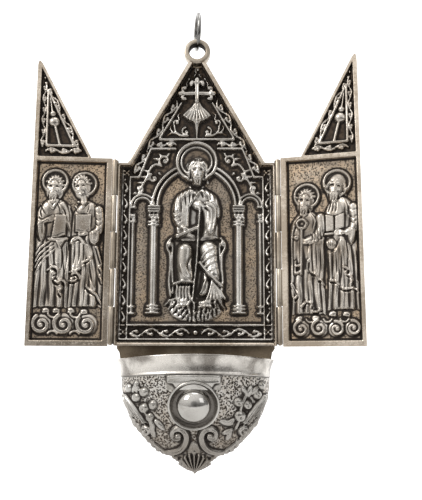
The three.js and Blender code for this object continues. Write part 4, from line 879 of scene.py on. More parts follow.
def closedBehind(bm, back, sharp=35):       # gives a carved sheet its edge and its back
    rim = [e for e in bm.edges if e.is_boundary]
    grown = bmesh.ops.extrude_edge_only(bm, edges=rim)["geom"]
    for v in grown:
        if isinstance(v, bmesh.types.BMVert):
            v.co.z = back
    far = [e for e in grown if isinstance(e, bmesh.types.BMEdge) and e.is_boundary]
    made = bmesh.ops.edgeloop_fill(bm, edges=far)["faces"]
    bmesh.ops.recalc_face_normals(bm, faces=bm.faces)
    for f in bm.faces:
        f.smooth = True
    for e in rim:
        e.smooth = False
    for e in {e for f in grown if isinstance(f, bmesh.types.BMFace) for e in f.edges}:
        if len(e.link_faces) == 2 and e.calc_face_angle() > math.radians(sharp):
            e.smooth = False
    for f in made:
        for e in f.edges:
            e.smooth = False

# the bowl: sizes in millimetres
bowl = {
    "rim": -4.6, "tip": -45.2, "half": 27.2, "reach": 19.2, "wall": 1.0,
    "band": 6.4, "flare": 2.0, "arch": 1.7,
    "boss": -20.6, "bossRadius": 9.1, "domeRadius": 5.9, "domeHeight": 4.4,
    "columns": 340, "rows": 210, "bandRows": 26, "insideRows": 26,
}
bandFoot = bowl["rim"] - bowl["band"]

def bowlHalfAt(y):           # half an ellipse that runs out into a point
    rounded = bowl["half"] * np.sqrt(np.clip(1 - ((bandFoot - y) / 29.6) ** 2, 0, 1))
    point = 10 * np.tanh(0.155 * np.clip(y - bowl["tip"], 0, None))
    return np.where(y >= bandFoot, bowl["half"], (rounded ** 6 + point ** 6) ** (1 / 6))

def bowlReachAt(y):
    return bowl["reach"] * np.clip((y - bowl["tip"]) / (bandFoot - bowl["tip"]), 0, 1) ** 0.62

def fruit(r, x, y, size, high=1.25, hole=False, tilt=0, long=1.0):
    r.dome(x, y, size * 1.16, size * 1.16 * long, 0.35, tilt, "soft", "cut")
    r.dome(x, y, size, size * long, high, tilt, "round", "over", 0.0)
    if hole:
        r.dome(x - 0.1, y - 0.15, size * 0.34, size * 0.34, 0.75, tilt, "soft", "cut")
    else:
        r.stroke(arcPath(x, y, size * 0.52, 20, 300, 10), size * 0.14, 0.22, "soft", "cut")

def blade(r, x, y, length, wide, angle, high=1.0, veins=True):     # a pointed leaf from its root
    a = math.radians(angle)
    c, s = math.cos(a), math.sin(a)
    def at(u, v):
        return x + length * u * c - v * s, y + length * u * s + v * c
    r.stroke([at(0, 0), at(0.35, wide * 0.1), at(0.7, 0), at(1, -wide * 0.15)], wide, high, "round", "over", smooth=True,
             swell=lambda t: 0.25 + 0.75 * np.sin(np.pi * np.clip(0.12 + 0.86 * t, 0, 1)))
    if veins:
        r.stroke([at(0.05, 0), at(0.9, 0)], wide * 0.16, 0.4, "soft", "cut")
        for v in (-1, 1):
            for u in (0.3, 0.5, 0.7):
                r.stroke([at(u - 0.1, 0), at(u + 0.1, v * wide * 0.7)], wide * 0.12, 0.25, "soft", "cut")

def carveBowl(r):
    # fluted wings from the sides, and the leaf edging below them
    for side in (-1, 1):
        for k in range(6):
            a = (side * (25.9 - 0.95 * k), -17.4 - 0.9 * k)
            b = (side * (21.8 - 1.15 * k), -24.6 - 0.75 * k)
            r.stroke([a, ((a[0] + b[0]) / 2 + side * 0.35, (a[1] + b[1]) / 2), b], 0.62, 1.1, "round", "over", smooth=True,
                     swell=lambda t: 0.5 + 0.5 * np.sin(np.pi * np.clip(t * 0.8 + 0.2, 0, 1)))
        for k in range(6):
            a, b = (side * (25.4 - 0.95 * k), -17.8 - 0.9 * k), (side * (21.3 - 1.15 * k), -24.9 - 0.75 * k)
            r.stroke([a, ((a[0] + b[0]) / 2 + side * 0.35, (a[1] + b[1]) / 2), b], 0.3, 1.1, "soft", "cut", smooth=True)
        r.stroke([(side * 24.8, -17.6), (side * 21.2, -21.6), (side * 17.6, -26.6)], 0.5, 1.2, "round", "over", smooth=True)
        for k in range(7):
            x, y = side * (22.4 - 1.75 * k), -26.0 - 1.55 * k - 0.06 * k * k
            blade(r, x, y, 3.0, 0.9, (-118 if side > 0 else -62) + side * 3 * k, 0.9, False)
            r.stroke([(x, y), (x - side * 1.2, y - 2.2)], 0.14, 0.35, "soft", "cut")
        r.stroke([(side * 23.4, -24.6), (side * 19.0, -30.4), (side * 13.6, -34.8), (side * 9.6, -37.6)], 0.42, 0.7, "round",
                 "over", smooth=True)
    # fruit and leaves
    for x, y, size, long in ((-23.4, -14.9, 1.2, 1.3), (-17.6, -16.1, 1.6, 1), (-20.6, -18.0, 1.55, 1),
                             (-14.4, -20.5, 1.5, 1.1), (-15.6, -24.8, 1.45, 1),
                             (23.8, -13.9, 1.1, 1.3), (22.3, -17.0, 1.5, 1.1), (15.6, -19.5, 1.6, 1), (18.8, -20.5, 1.5, 1.05)):
        fruit(r, x, y, size, long=long, hole=size > 1.45 and x > 0)
    fruit(r, -17.7, -21.7, 1.75, 1.4, True)
    fruit(r, 16.2, -24.4, 2.0, 1.45, True)
    for x, y, length, wide, angle in ((-21.6, -16.0, 3.4, 0.85, 62), (-20.2, -16.0, 3.6, 0.8, 96),
                                      (-19.2, -15.4, 3.0, 0.7, 130),
                                      (19.0, -17.4, 3.6, 0.85, 75), (20.2, -16.6, 3.2, 0.75, 48), (18.4, -16.8, 3.0, 0.75, 118),
                                      (-15.0, -26.2, 4.6, 1.0, -88), (-13.6, -26.0, 4.2, 0.95, -44),
                                      (-15.4, -28.4, 3.6, 0.9, -66),
                                      (13.4, -26.8, 4.4, 1.0, 172), (13.9, -25.4, 3.4, 0.8, 214), (13.2, -29.0, 3.4, 0.9, 205),
                                      (12.8, -30.0, 3.0, 0.8, 240)):
        blade(r, x, y, length, wide, angle, 1.05)
    r.stroke([(-17.5, -22.6), (-16.0, -25.6), (-14.6, -29.4)], 0.4, 0.7, smooth=True)
    r.stroke([(18.2, -17.2), (16.6, -21.0), (15.8, -25.8), (14.8, -28.6)], 0.4, 0.7, smooth=True)
    for side in (-1, 1):
        path = curlPath(side * 17.2, -29.9, 1.75, 60 if side > 0 else 120, side * 360, 0.2)
        r.stroke(path, 0.62, 1.2)
        # C scrolls beside the foot of the boss: two ridges side by side
        eye = (side * 5.75, -31.0)
        wide = curlPath(eye[0], eye[1], 3.15, 180 if side > 0 else 0, -side * 400, 0.2, 30)
        tail = [(side * 9.9, -37.3), (side * 7.6, -37.1), (side * 5.0, -36.2), (side * 3.2, -34.2), (side * 2.55, -31.8),
                (side * 2.6, -31.0)]
        r.stroke(np.vstack([smoothPath(tail), wide[1:]]), 1.15, 1.5, "round", "over",
                 swell=lambda t: 0.55 + 0.45 * np.sin(np.pi * np.clip(t * 1.15 + 0.08, 0, 1)))
        for shift in (-0.32, 0.32):
            r.stroke(np.vstack([smoothPath(tail), wide[1:24]]) + np.array([shift, shift * 0.6]), 0.2, 0.6, "soft", "cut")
        r.dome(eye[0], eye[1], 1.0, 1.0, 1.6)
    # palmette at the point, edged with small leaves
    for k in range(9):
        a = math.radians((k - 4) * 17.5)
        root = (0.5 * math.sin(a), -43.9)
        tip = (6.4 * math.sin(a) * 0.86, -44.0 + 6.3 * math.cos(a) ** 0.8 if abs(k - 4) < 5 else 0)
        r.stroke([root, ((root[0] + tip[0]) / 2 + 0.35 * math.sin(a), (root[1] + tip[1]) / 2), tip], 0.5, 1.05, "round", "over",
                 smooth=True, swell=lambda t: 0.4 + 0.6 * t)
        r.dome(tip[0], tip[1], 0.55, 0.55, 1.15)
    for side in (-1, 1):
        for k in range(5):
            blade(r, side * (2.0 + 1.25 * k), -43.4 + 1.02 * k, 1.9, 0.55, 60 if side > 0 else 120, 0.95, False)
    r.dome(0, -36.9, 1.0, 0.9, 0.8)
    r.panel([(-2.6, -37.6), (2.6, -37.6), (1.4, -33.8), (0, -32.8), (-1.4, -33.8)], 0.35, 0.5, "over")
    # the bare plaque between the band and the boss
    r.panel([(-9.3, -8.8), (9.3, -8.8), (9.3, -12.9), (7.2, -13.1), (5.6, -15.4), (-5.6, -15.4), (-7.2, -13.1), (-9.3, -12.9)],
            0.75, 0.3, "over")
    r.panel([(-8.7, -9.2), (8.7, -9.2), (8.7, -12.4), (-8.7, -12.4)], -0.2, 0.25)
    for side in (-1, 1):
        r.panel([(side * 7.0, -9.2), (side * 9.0, -9.2), (side * 9.0, -11.2), (side * 7.0, -11.2)], 0.15, 0.3)

def makeBowl(material):
    b = bowl
    columns, body, band, inside = b["columns"], b["rows"], b["bandRows"], b["insideRows"]
    # the wall's line from its point up to the rim, over the lip and down inside:
    # height, step out, and whether it is the inner face
    line = [(b["tip"] + (bandFoot - b["tip"]) * (k / body) ** 1.25, 0.0, 0) for k in range(body + 1)]
    for k in range(band + 1):
        t = k / band
        bead = 0.28 * math.exp(-((t - 0.05) / 0.045) ** 2)
        line.append((bandFoot + 0.05 + t * (b["band"] - 0.45), b["flare"] * (0.22 + 0.78 * t ** 2.1) + bead, 0))
    line += [(b["rim"] - 0.16, b["flare"] - 0.04, 0), (b["rim"] - 0.03, b["flare"] - 0.22, 0), (b["rim"], b["flare"] - 0.55, 0),
             (b["rim"] - 0.03, b["flare"] - 1.0, 0), (b["rim"] - 0.2, b["flare"] - 1.3, 0),
             (b["rim"] - 0.6, b["flare"] - 1.45, 1)]
    for t in (0.25, 0.5, 0.75, 1.0):
        line.append((b["rim"] - 0.6 - t * (b["band"] - 0.6), 0.55 - t * 1.55, 1))
    floor = b["tip"] + 3.4
    for k in range(1, inside + 1):
        line.append((floor + (bandFoot - floor) * (1 - k / inside) ** 1.3, -b["wall"], 1))
    rows = len(line) - 1
    bm, across, up = sheet(columns, rows)
    level, out, within = (np.array([p[n] for p in line], float)[:, None] for n in range(3))
    a = np.pi * np.arange(columns + 1)[None] / columns
    half = np.clip(bowlHalfAt(level) + out, 0, None)
    reach = np.clip(bowlReachAt(level) + out, 0, None)
    half[-1] = 0
    half[0] = 0
    reach[-1] = 0
    forward = np.sin(a)
    forward[0, 0] = forward[0, -1] = 0
    x = half * np.cos(a)
    y = level + b["arch"] * np.clip((level - b["tip"]) / (b["rim"] - b["tip"]), 0,
                                    None) ** 2 * forward ** 2 * np.where(half > 0, 1, 0)
    z = backDepth + reach * forward
    surface = np.stack([x, y, z], 2)
    normal = np.cross(np.gradient(surface, axis=1), np.gradient(surface, axis=0))
    normal /= np.maximum(1e-9, np.linalg.norm(normal, axis=2, keepdims=True))
    normal *= np.where(normal[..., 2:3] < 0, -1, 1)
    r = Relief(x, y, 0.0)
    carveBowl(r)
    r.soften()
    h = r.h.reshape(r.shape)
    fade = np.clip((bandFoot - level) / 0.6, 0, 1) * np.clip(forward * 9, 0,
                                                             1) * (1 - within) * (out == 0) * np.clip((level - b["tip"]) / 0.8,
                                                                     0, 1)
    h = h * fade
    surface = surface + normal * h[..., None]
    surface[..., 2] = np.maximum(surface[..., 2], backDepth)
    hollow = hollows(h, 3, 10, 0.4)
    foot = np.clip(1 - np.abs(level - bandFoot) / 0.5, 0, 1) * (1 - within)      # darker just under the band
    hollow = np.clip(hollow + 0.4 * foot, 0, 1)
    plaque = (np.abs(x) < 9.4) & (y > -15.4)
    bare = np.clip(1 - np.abs(h) / 0.16, 0, 1) * fade * (~plaque) * (np.hypot(x, y + 20.6) > 8.6)
    moved(bm, surface[up, across])
    paint(bm, "hollow", hollow[up, across])
    paint(bm, "ground", bare[up, across])
    paint(bm, "inside", (within + 0 * a)[up, across])
    paint(bm, "polish", (((out > 0) & (within == 0)) + 0 * a)[up, across])
    bmesh.ops.remove_doubles(bm, verts=bm.verts, dist=0.004)
    rim = [e for e in bm.edges if e.is_boundary]
    bmesh.ops.triangle_fill(bm, use_beauty=True, use_dissolve=False, edges=rim)
    bmesh.ops.recalc_face_normals(bm, faces=bm.faces)
    for f in bm.faces:
        f.smooth = True
    for e in rim:
        e.smooth = False
    moved(bm, placed([v.co[:] for v in bm.verts]))
    bmesh.ops.recalc_face_normals(bm, faces=bm.faces)
    return finishPiece("bowlRelief", bm, "stoup", ["holy_water_bowl"], material)

def spun(profile, steps, axis=(0, 0, 1)):    # a profile of radius and height turned full circle about z
    bm = bmesh.new()
    verts = [bm.verts.new((radius, 0, height)) for radius, height in profile]
    edges = [bm.edges.new(pair) for pair in zip(verts, verts[1:])]
    bmesh.ops.spin(bm, geom=verts + edges, cent=(0, 0, 0), axis=axis, angle=2 * math.pi, steps=steps, use_merge=True)
    bmesh.ops.remove_doubles(bm, verts=bm.verts, dist=1e-4)
    bmesh.ops.recalc_face_normals(bm, faces=bm.faces)
    for f in bm.faces:
        f.smooth = True
    return bm

def makeBoss(material):      # a raised rim, a dark dish and a polished dome
    b = bowl
    wide, dome = b["bossRadius"], b["domeRadius"]
    profile = [(0, -1.0), (wide - 0.3, -1.0), (wide - 0.02, -0.7), (wide, 0.3), (wide - 0.08, 0.52), (wide - 0.26, 0.66),
               (wide - 0.45, 0.7), (wide - 0.64, 0.64), (wide - 0.8, 0.48)]
    for k in range(1, 9):
        t = k / 8
        profile.append((wide - 0.8 + (dome + 0.55 - wide + 0.8) * t, 0.48 - 1.02 * math.sin(t * math.pi / 2) ** 0.8))
    profile += [(dome + 0.2, -0.5), (dome + 0.02, -0.3), (dome, 0.0)]
    for k in range(1, 18):
        a = math.pi / 2 * k / 18
        profile.append((dome * math.cos(a), 0.1 + (b["domeHeight"] + 0.1) * math.sin(a)))
    profile.append((0, 0.2 + b["domeHeight"]))
    bm = spun(profile, 96)
    dish = [1.0 if dome + 0.05 < math.hypot(v.co.x, v.co.y) < wide - 0.7 and v.co.z < 0.47 else 0.0 for v in bm.verts]
    low = [min(1, max(0, 0.5 + 0.5 * dish[n] + 0.5 * max(0, -v.co.z) - 0.25 * (v.co.z > 0.6))) for n, v in enumerate(bm.verts)]
    paint(bm, "dish", dish)
    paint(bm, "hollow", low)
    lean = math.atan2(float(bowlReachAt(b["boss"] + 3) - bowlReachAt(b["boss"] - 3)), 6)
    depth = backDepth + float(bowlReachAt(np.array(b["boss"]))) + 0.3
    place = Matrix.Translation((0, b["boss"], depth)) @ Matrix.Rotation(lean, 4, "X")
    bmesh.ops.transform(bm, matrix=place, verts=bm.verts)
    moved(bm, placed([v.co[:] for v in bm.verts]))
    bmesh.ops.recalc_face_normals(bm, faces=bm.faces)
    return finishPiece("waterBoss", bm, "stoup", (), material)

def makeCase(material):
    c = case
    inner, outer = c["columns"], c["sideColumns"]
    bodyRows, gableRows = c["bodyRows"], c["gableRows"]
    bm, across, up = sheet(inner + 2 * outer, bodyRows + gableRows)
    i, j = np.arange(inner + 2 * outer + 1) - outer, np.arange(bodyRows + gableRows + 1)
    u = np.clip(2 * i / inner - 1, -1, 1)                    # across the part under the gable
    side = np.sign(u) * np.clip(np.maximum(-i, i - inner), 0, outer) / outer * (c["half"] - c["gableFoot"])
    foot = u * c["gableFoot"] + side
    # the gable's columns lean in to a top that is cut out round for the hanging eye
    k = u / caseSlope
    drop, gap = c["eyeDrop"], c["eyeGap"]
    down = (2 * drop + np.sqrt(4 * drop ** 2 + 4 * (1 + k * k) * (gap ** 2 - drop ** 2))) / (2 * (1 + k * k))
    topX, topY = k * down, c["apex"] - down
    t = np.clip((j - bodyRows) / gableRows, 0, 1)[:, None]
    x = foot[None] * (1 - t) + topX[None] * t
    body = c["bottom"] + (c["shoulder"] - c["bottom"]) * np.minimum(j, bodyRows)[:, None] / bodyRows
    y = np.where(t > 0, c["shoulder"] * (1 - t) + topY[None] * t, body + 0 * topY[None])
    r = Relief(x, y, c["ground"])
    carveCase(r)
    r.soften()
    h = r.h.reshape(r.shape)
    h = np.minimum(h, np.where(frameMask(x, y), c["front"], c["front"] - 0.3))
    hollow = hollows(h, 2, 10, 0.36)
    ground = np.clip(1 - (h - c["ground"]) / 0.35, 0, 1)
    plain = plainField(x, y)
    moved(bm, np.stack([x[up, across], y[up, across], h[up, across]], 1))
    paint(bm, "hollow", hollow[up, across])
    paint(bm, "ground", (ground * plain)[up, across])
    paint(bm, "field", (np.clip(1.3 - (h - c["ground"]) / 0.8, 0, 1) * darkField(x, y))[up, across])
    paint(bm, "rim", frameMask(x, y).astype(float)[up, across])
    mids = [(f, f.calc_center_median()) for f in bm.faces]
    gone = [f for f, mid in mids if mid.y > c["shoulder"] and abs(mid.x) > gableHalf(mid.y) + 0.01]
    bmesh.ops.delete(bm, geom=gone, context="FACES")
    closedBehind(bm, backDepth)
    moved(bm, placed([v.co[:] for v in bm.verts]))
    bmesh.ops.recalc_face_normals(bm, faces=bm.faces)
    return finishPiece("centreRelief", bm, "stoup", ["centre_case"], material)

def frameMask(x, y):
    return (np.abs(x) > case["half"] - 1.2) | (y < 1.8) | (np.abs(x) > gableHalf(y) - 3.2) & (y > 66)

def plainField(x, y):        # where the ground is open, stippled and tanned
    middle = (np.abs(x) < 15.6) & (y < 53.5 + np.sqrt(np.clip(15 ** 2 - x * x, 0, None)))
    sides = (np.abs(np.abs(x) - 20.6) < 4.8) & (y < 53.6 + np.sqrt(np.clip(3.2 ** 2 - (np.abs(x) - 20.6) ** 2, 0, None)))
    return ((middle | sides) & (y > 8.4)).astype(float)

def darkField(x, y):         # the grounds left black between the leaves
    border = (np.abs(x) > 25.6) | (y < 8) | (y > 80) | (y > 66) & (np.abs(x) > gableHalf(y) - 6.2) | (y > 76.4)
    return np.where(border, 1.0, 0.7) * (1 - plainField(x, y))

def makeDoor(body, side, carve, material):
    d = door
    outer, main = d["hingeColumns"], d["columns"]
    bodyRows, gableRows = d["bodyRows"], d["gableRows"]
    bm, across, up = sheet(outer + main, bodyRows + gableRows)
    i, j = np.arange(outer + main + 1), np.arange(bodyRows + gableRows + 1)
    s = np.clip((i - outer) / main, 0, 1)
    foot = np.where(i < outer, d["hinge"] + (d["gableFoot"] - d["hinge"]) * i / outer,
                    d["gableFoot"] + (d["free"] - d["gableFoot"]) * s)
    a, b, c = d["tip"]       # the rounded tip of the gable
    topX = (1 - s) ** 2 * a[0] + 2 * s * (1 - s) * b[0] + s * s * c[0]
    topY = (1 - s) ** 2 * a[1] + 2 * s * (1 - s) * b[1] + s * s * c[1]
    t = np.clip((j - bodyRows) / gableRows, 0, 1)[:, None]
    x = foot[None] * (1 - t) + topX[None] * t
    y = np.where(t > 0, d["height"] * (1 - t) + topY[None] * t, d["height"] * np.minimum(j, bodyRows)[:,
            None] / bodyRows + 0 * topY[None])
    r = Relief(x, y, d["ground"])
    carve(r)
    r.soften()
    h = np.minimum(r.h.reshape(r.shape), d["highest"])
    hollow = hollows(h, 2, 10, 0.18)
    ground = np.clip(1 - (h - d["ground"]) / 0.3, 0, 1)
    field = (x > 3.6) & (x < 28.9) & (y > 2.5) & (y < 69.4)
    leafy = (y > 72) & (x < 28.9) & (x > slopeAt(y) + 1.6)
    moved(bm, np.stack([x[up, across], y[up, across], h[up, across]], 1))
    paint(bm, "hollow", hollow[up, across])
    paint(bm, "ground", (ground * field)[up, across])
    paint(bm, "field", (np.clip(1.3 - (h - d["ground"]) / 0.6, 0, 1) * leafy)[up, across])
    paint(bm, "rim", (~field & ~leafy).astype(float)[up, across])
    mids = [(f, f.calc_center_median()) for f in bm.faces]
    gone = [f for f, mid in mids if mid.y > d["height"] and mid.x < slopeAt(mid.y) - 0.01]
    bmesh.ops.delete(bm, geom=gone, context="FACES")
    closedBehind(bm, -d["thick"])
    moved(bm, placedDoor([v.co[:] for v in bm.verts], body, side))
    bmesh.ops.recalc_face_normals(bm, faces=bm.faces)
    return finishPiece(body + "Relief", bm, body, [body], material)

# back plate
plate = {"front": -7.2, "thick": 1.0, "inset": 0.3, "columns": 90, "soft": 0.22, "dents": 46}

def makePlate(material):
    p, c = plate, case
    edge = p["inset"]
    half = c["half"] - edge
    top = c["apex"] - 1.6 * caseSlope - 2 * edge
    levels = np.concatenate([np.linspace(bowl["tip"] - edge, bandFoot + 3, 90), np.linspace(bandFoot + 3.5, -2, 8),
                             np.linspace(-1.6, -0.6, 4),
                             np.linspace(0, c["shoulder"] - edge, 80), [c["shoulder"] - edge + 0.02],
                             np.linspace(c["shoulder"] + 0.4, top, 60)])
    side = np.where(levels < bandFoot + 3, bowlHalfAt(levels) + edge,
                    np.where(levels < -0.6, np.clip(half - 1 + np.clip((levels + 2) / 1.4, 0, 1), None, half), half))
    neck = (levels >= bandFoot + 3) & (levels < -2)
    t = (levels - bandFoot - 3) / (-2 - bandFoot - 3)
    side = np.where(neck, (float(bowlHalfAt(np.array(bandFoot + 3.0))) + edge) * (1 - t) + (half - 1) * t, side)
    over = levels > c["shoulder"] - edge
    foot = c["gableFoot"] - edge
    side = np.where(over, foot + (1.6 - foot) * (levels - c["shoulder"] + edge) / (top - c["shoulder"] + edge), side)
    side[0] = 0.25
    rows = len(levels) - 1
    bm, across, up = sheet(p["columns"], rows)
    u = 2 * np.arange(p["columns"] + 1)[None] / p["columns"] - 1
    x, y = u * side[:, None], levels[:, None] + 0 * u
    near = (1 - np.abs(u)) * side[:, None]
    scribed = np.exp(-((near - 1.5) / 0.22) ** 2) * (side[:, None] > 2)           # a line scribed inside the edge
    moved(bm, np.stack([x[up, across], y[up, across], np.full(len(up), p["front"])], 1))
    paint(bm, "hollow", np.clip(0.45 + 0.3 * scribed + 0.25 * np.exp(-near / 1.2), 0, 1)[up, across])
    bmesh.ops.remove_doubles(bm, verts=bm.verts, dist=0.004)
    front = list(bm.faces)
    for f in front:
        f.normal_update()
    grown = bmesh.ops.extrude_face_region(bm, geom=front)["geom"]
    back = [v for v in grown if isinstance(v, bmesh.types.BMVert)]
    for v in back:
        v.co.z = p["front"] - p["thick"]
    bmesh.ops.recalc_face_normals(bm, faces=bm.faces)
    co = np.array([v.co[:2] for v in back])
    waviness = np.zeros(len(co))
    dents = np.random.default_rng(5)
    for _ in range(p["dents"]):      # a hand-flattened sheet is never quite even, which shows from behind
        cx, cy, size = dents.uniform(-28, 28), dents.uniform(-44, 110), dents.uniform(3, 9)
        waviness += dents.uniform(-0.05, 0.05) * np.exp(-((co[:, 0] - cx) ** 2 + (co[:, 1] - cy) ** 2) / size ** 2)
    layer = bm.verts.layers.float["hollow"]
    for v, w in zip(back, waviness):
        v.co.z += max(0.0, w + 0.06) + (0.1 if v[layer] > 0.7 else 0)
    corners = [e for e in bm.edges if len(e.link_faces) == 2 and e.calc_face_angle() > math.radians(60)]
    bmesh.ops.bevel(bm, geom=corners, offset=p["soft"], offset_type="OFFSET", segments=2, profile=0.5, affect="EDGES",
                    material=-1, clamp_overlap=True)
    for f in bm.faces:
        f.smooth = True
    for e in bm.edges:
        if len(e.link_faces) == 2 and e.calc_face_angle() > math.radians(50):
            e.smooth = False
    moved(bm, placed([v.co[:] for v in bm.verts]))
    bmesh.ops.recalc_face_normals(bm, faces=bm.faces)
    return finishPiece("backSheet", bm, "stoup", ["back_plate"], material)

# hinges
hinge = {"radius": 1.0, "bore": 0.8, "pin": 0.72, "pinDome": 0.45, "count": 5, "gap": 0.3, "foot": 0.6, "height": 71.2,
         "round": 24, "soft": 0.14}

def knuckles(first, toward, reach):      # every second barrel about the axis, with its leaf towards the panel
    h = hinge
    pitch = (h["height"] - 2 * h["foot"]) / h["count"]
    whole = bmesh.new()
    for i in range(first, h["count"], 2):
        low = h["foot"] + i * pitch + h["gap"] / 2
        high = low + pitch - h["gap"]
        soft = h["soft"]
        profile = [(h["bore"], low + 0.05), (h["bore"] + 0.05, low), (h["radius"] - soft, low),
                   (h["radius"] - 0.04, low + 0.05), (h["radius"], low + soft)]
        for t in (0.25, 0.5, 0.75):      # the rolled sheet is a little uneven
            profile.append((h["radius"] - 0.02 - 0.015 * ((i + int(t * 4)) % 2), low + t * (high - low)))
        profile += [(h["radius"], high - soft), (h["radius"] - 0.04, high - 0.05), (h["radius"] - soft, high),
                    (h["bore"] + 0.05, high), (h["bore"], high - 0.05), (h["bore"], low + 0.05)]
        part = spun(profile, h["round"])
        bmesh.ops.rotate(part, verts=part.verts, matrix=Matrix.Rotation(-math.pi / 2, 3, "X"))
        leaf = bmesh.ops.create_cube(part, size=1.0)["verts"]
        wide = reach - h["radius"] * 0.86
        bmesh.ops.scale(part, vec=(wide, high - low - 0.02, 0.44), verts=leaf)
        bmesh.ops.translate(part, vec=(toward * (h["radius"] * 0.86 + wide / 2), (low + high) / 2, -0.73), verts=leaf)
        rims = [e for e in part.edges if e.verts[0] in leaf and e.verts[1] in leaf]
        bmesh.ops.bevel(part, geom=rims, offset=0.08, segments=2, profile=0.5, affect="EDGES", material=-1)
        scratch = bpy.data.meshes.new("scratch")
        part.to_mesh(scratch)
        part.free()
        whole.from_mesh(scratch)
        bpy.data.meshes.remove(scratch)
    return whole

def makeHinges(material):
    for name, side in (("left", -1), ("right", 1)):
        body = name + "_door"
        atCase = lambda co: placed(co + [side * abs(hingeAt[body].x), 0, 0])
        atDoor = lambda co: placedDoor(co, body, side)
        for suffix, first, toward, reach, place, slot, rider in (("CaseKnuckles", 0, -side, 1.2, atCase, "case_silver",
                "stoup"),
                                                                 ("DoorKnuckles", 1, 1, 1.25, atDoor, "door_silver", body)):
            barrels = knuckles(first, toward, reach)
            co = np.array([v.co[:] for v in barrels.verts])
            away = np.hypot(co[:, 0], co[:, 2])
            paint(barrels, "hollow", np.clip(0.42 + 0.5 * (away > 1.05) + 0.15 * (away < 0.9), 0, 1))
            moved(barrels, place(co))
            bmesh.ops.recalc_face_normals(barrels, faces=barrels.faces)
            finishPiece(name + suffix, barrels, rider, (), material)
        low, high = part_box(name + "_hinge_pin")
        mid, r = (low + high) / 2, hinge["pin"] * mm
        dome = hinge["pinDome"] * mm
        profile = [(0, low.z), (r * 0.5, low.z + dome * 0.14), (r * 0.86, low.z + dome * 0.5), (r, low.z + dome)]
        profile += [(r * (1 - 0.012 * (k % 2)), low.z + dome + (high.z - low.z - 2 * dome) * k / 12) for k in range(1, 12)]
        profile += [(r, high.z - dome), (r * 0.86, high.z - dome * 0.5), (r * 0.5, high.z - dome * 0.14), (0, high.z)]
        pin = bmesh.new()
        verts = [pin.verts.new((a, 0, b)) for a, b in profile]
        edges = [pin.edges.new(pair) for pair in zip(verts, verts[1:])]
        bmesh.ops.spin(pin, geom=verts + edges, cent=(0, 0, 0), axis=(0, 0, 1), angle=2 * math.pi, steps=20, use_merge=True)
        bmesh.ops.remove_doubles(pin, verts=pin.verts, dist=1e-7)
        bmesh.ops.translate(pin, vec=(mid.x, mid.y, 0), verts=pin.verts)
        bmesh.ops.recalc_face_normals(pin, faces=pin.faces)
        for f in pin.faces:
            f.smooth = True
        paint(pin, "hollow", [0.45] * len(pin.verts))
        finishPiece(name + "Pin", pin, "stoup", [name + "_hinge_pin"], material)

# hanging eye and ring
loop = {"eyeHeight": 115.6, "hole": 3.2, "outer": 5.15, "depth": 4.0, "middle": -2.7, "ringCentre": 124.5, "wire": 0.72,
        "turn": 8}

def makeLoop(eyeMaterial, ringMaterial):
    p = loop
    half, soft = p["depth"] / 2, 0.62
    profile = []
    for cx, cz, start in ((p["outer"] - soft, half - soft, 0), (p["hole"] + soft, half - soft, 90),
                          (p["hole"] + soft, soft - half, 180), (p["outer"] - soft, soft - half, 270)):
        for k in range(6):
            a = math.radians(start + 90 * k / 5)
            profile.append((cx + soft * math.cos(a), cz + soft * math.sin(a)))
    profile.append(profile[0])
    eye = spun(profile, 72)
    co = np.array([v.co[:] for v in eye.verts])
    # painted shade: the inside of the hole is painted fully dark
    paint(eye, "hollow", np.where(np.hypot(co[:, 0], co[:, 1]) < p["hole"] + 0.2, 1.0, 0.4))
    bmesh.ops.translate(eye, vec=(0, p["eyeHeight"], p["middle"]), verts=eye.verts)
    moved(eye, placed([v.co[:] for v in eye.verts]))
    bmesh.ops.recalc_face_normals(eye, faces=eye.faces)
    finishPiece("hangingEye", eye, "stoup", ["hanging_eye"], eyeMaterial)
    low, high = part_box("hanging_ring")
    centre = (p["ringCentre"] - caseFoot) + caseLow.z / mm
    outer = high.z / mm - centre
    radius = outer - p["wire"]
    ring = bmesh.new()
    section = bmesh.ops.create_circle(ring, segments=20, radius=p["wire"])["verts"]
    bmesh.ops.rotate(ring, verts=section, matrix=Matrix.Rotation(math.pi / 2, 3, "X"))
    bmesh.ops.translate(ring, vec=(radius, 0, 0), verts=section)
    bmesh.ops.spin(ring, geom=ring.verts[:] + ring.edges[:], cent=(0, 0, 0), axis=(0, 0, 1), angle=2 * math.pi, steps=112,
                   use_merge=True)
    bmesh.ops.remove_doubles(ring, verts=ring.verts, dist=1e-4)
    co = np.array([v.co[:] for v in ring.verts])
    angle = np.degrees(np.arctan2(co[:, 1], co[:, 0]))
    joint = np.exp(-((angle - 62) / 1.1) ** 2)           # the wire's closed joint
    paint(ring, "hollow", np.clip(0.4 + 0.5 * joint, 0, 1))
    for v, j in zip(ring.verts, joint):
        spot = Vector((v.co.x, v.co.y, 0)).normalized() * radius
        v.co = spot + (v.co - spot) * (1 - 0.09 * j)
    for f in ring.faces:
        f.smooth = True
    turn = Matrix.Rotation(math.radians(90 + p["turn"]), 4, "Z") @ Matrix.Rotation(math.pi / 2, 4, "X")
    bmesh.ops.transform(ring, matrix=turn, verts=ring.verts)
    bmesh.ops.scale(ring, vec=(mm, mm, mm), verts=ring.verts)
    bmesh.ops.translate(ring, vec=((low.x + high.x) / 2, (low.y + high.y) / 2, centre * mm), verts=ring.verts)
    bmesh.ops.recalc_face_normals(ring, faces=ring.faces)
    finishPiece("jumpRing", ring, "stoup", ["hanging_ring"], ringMaterial)

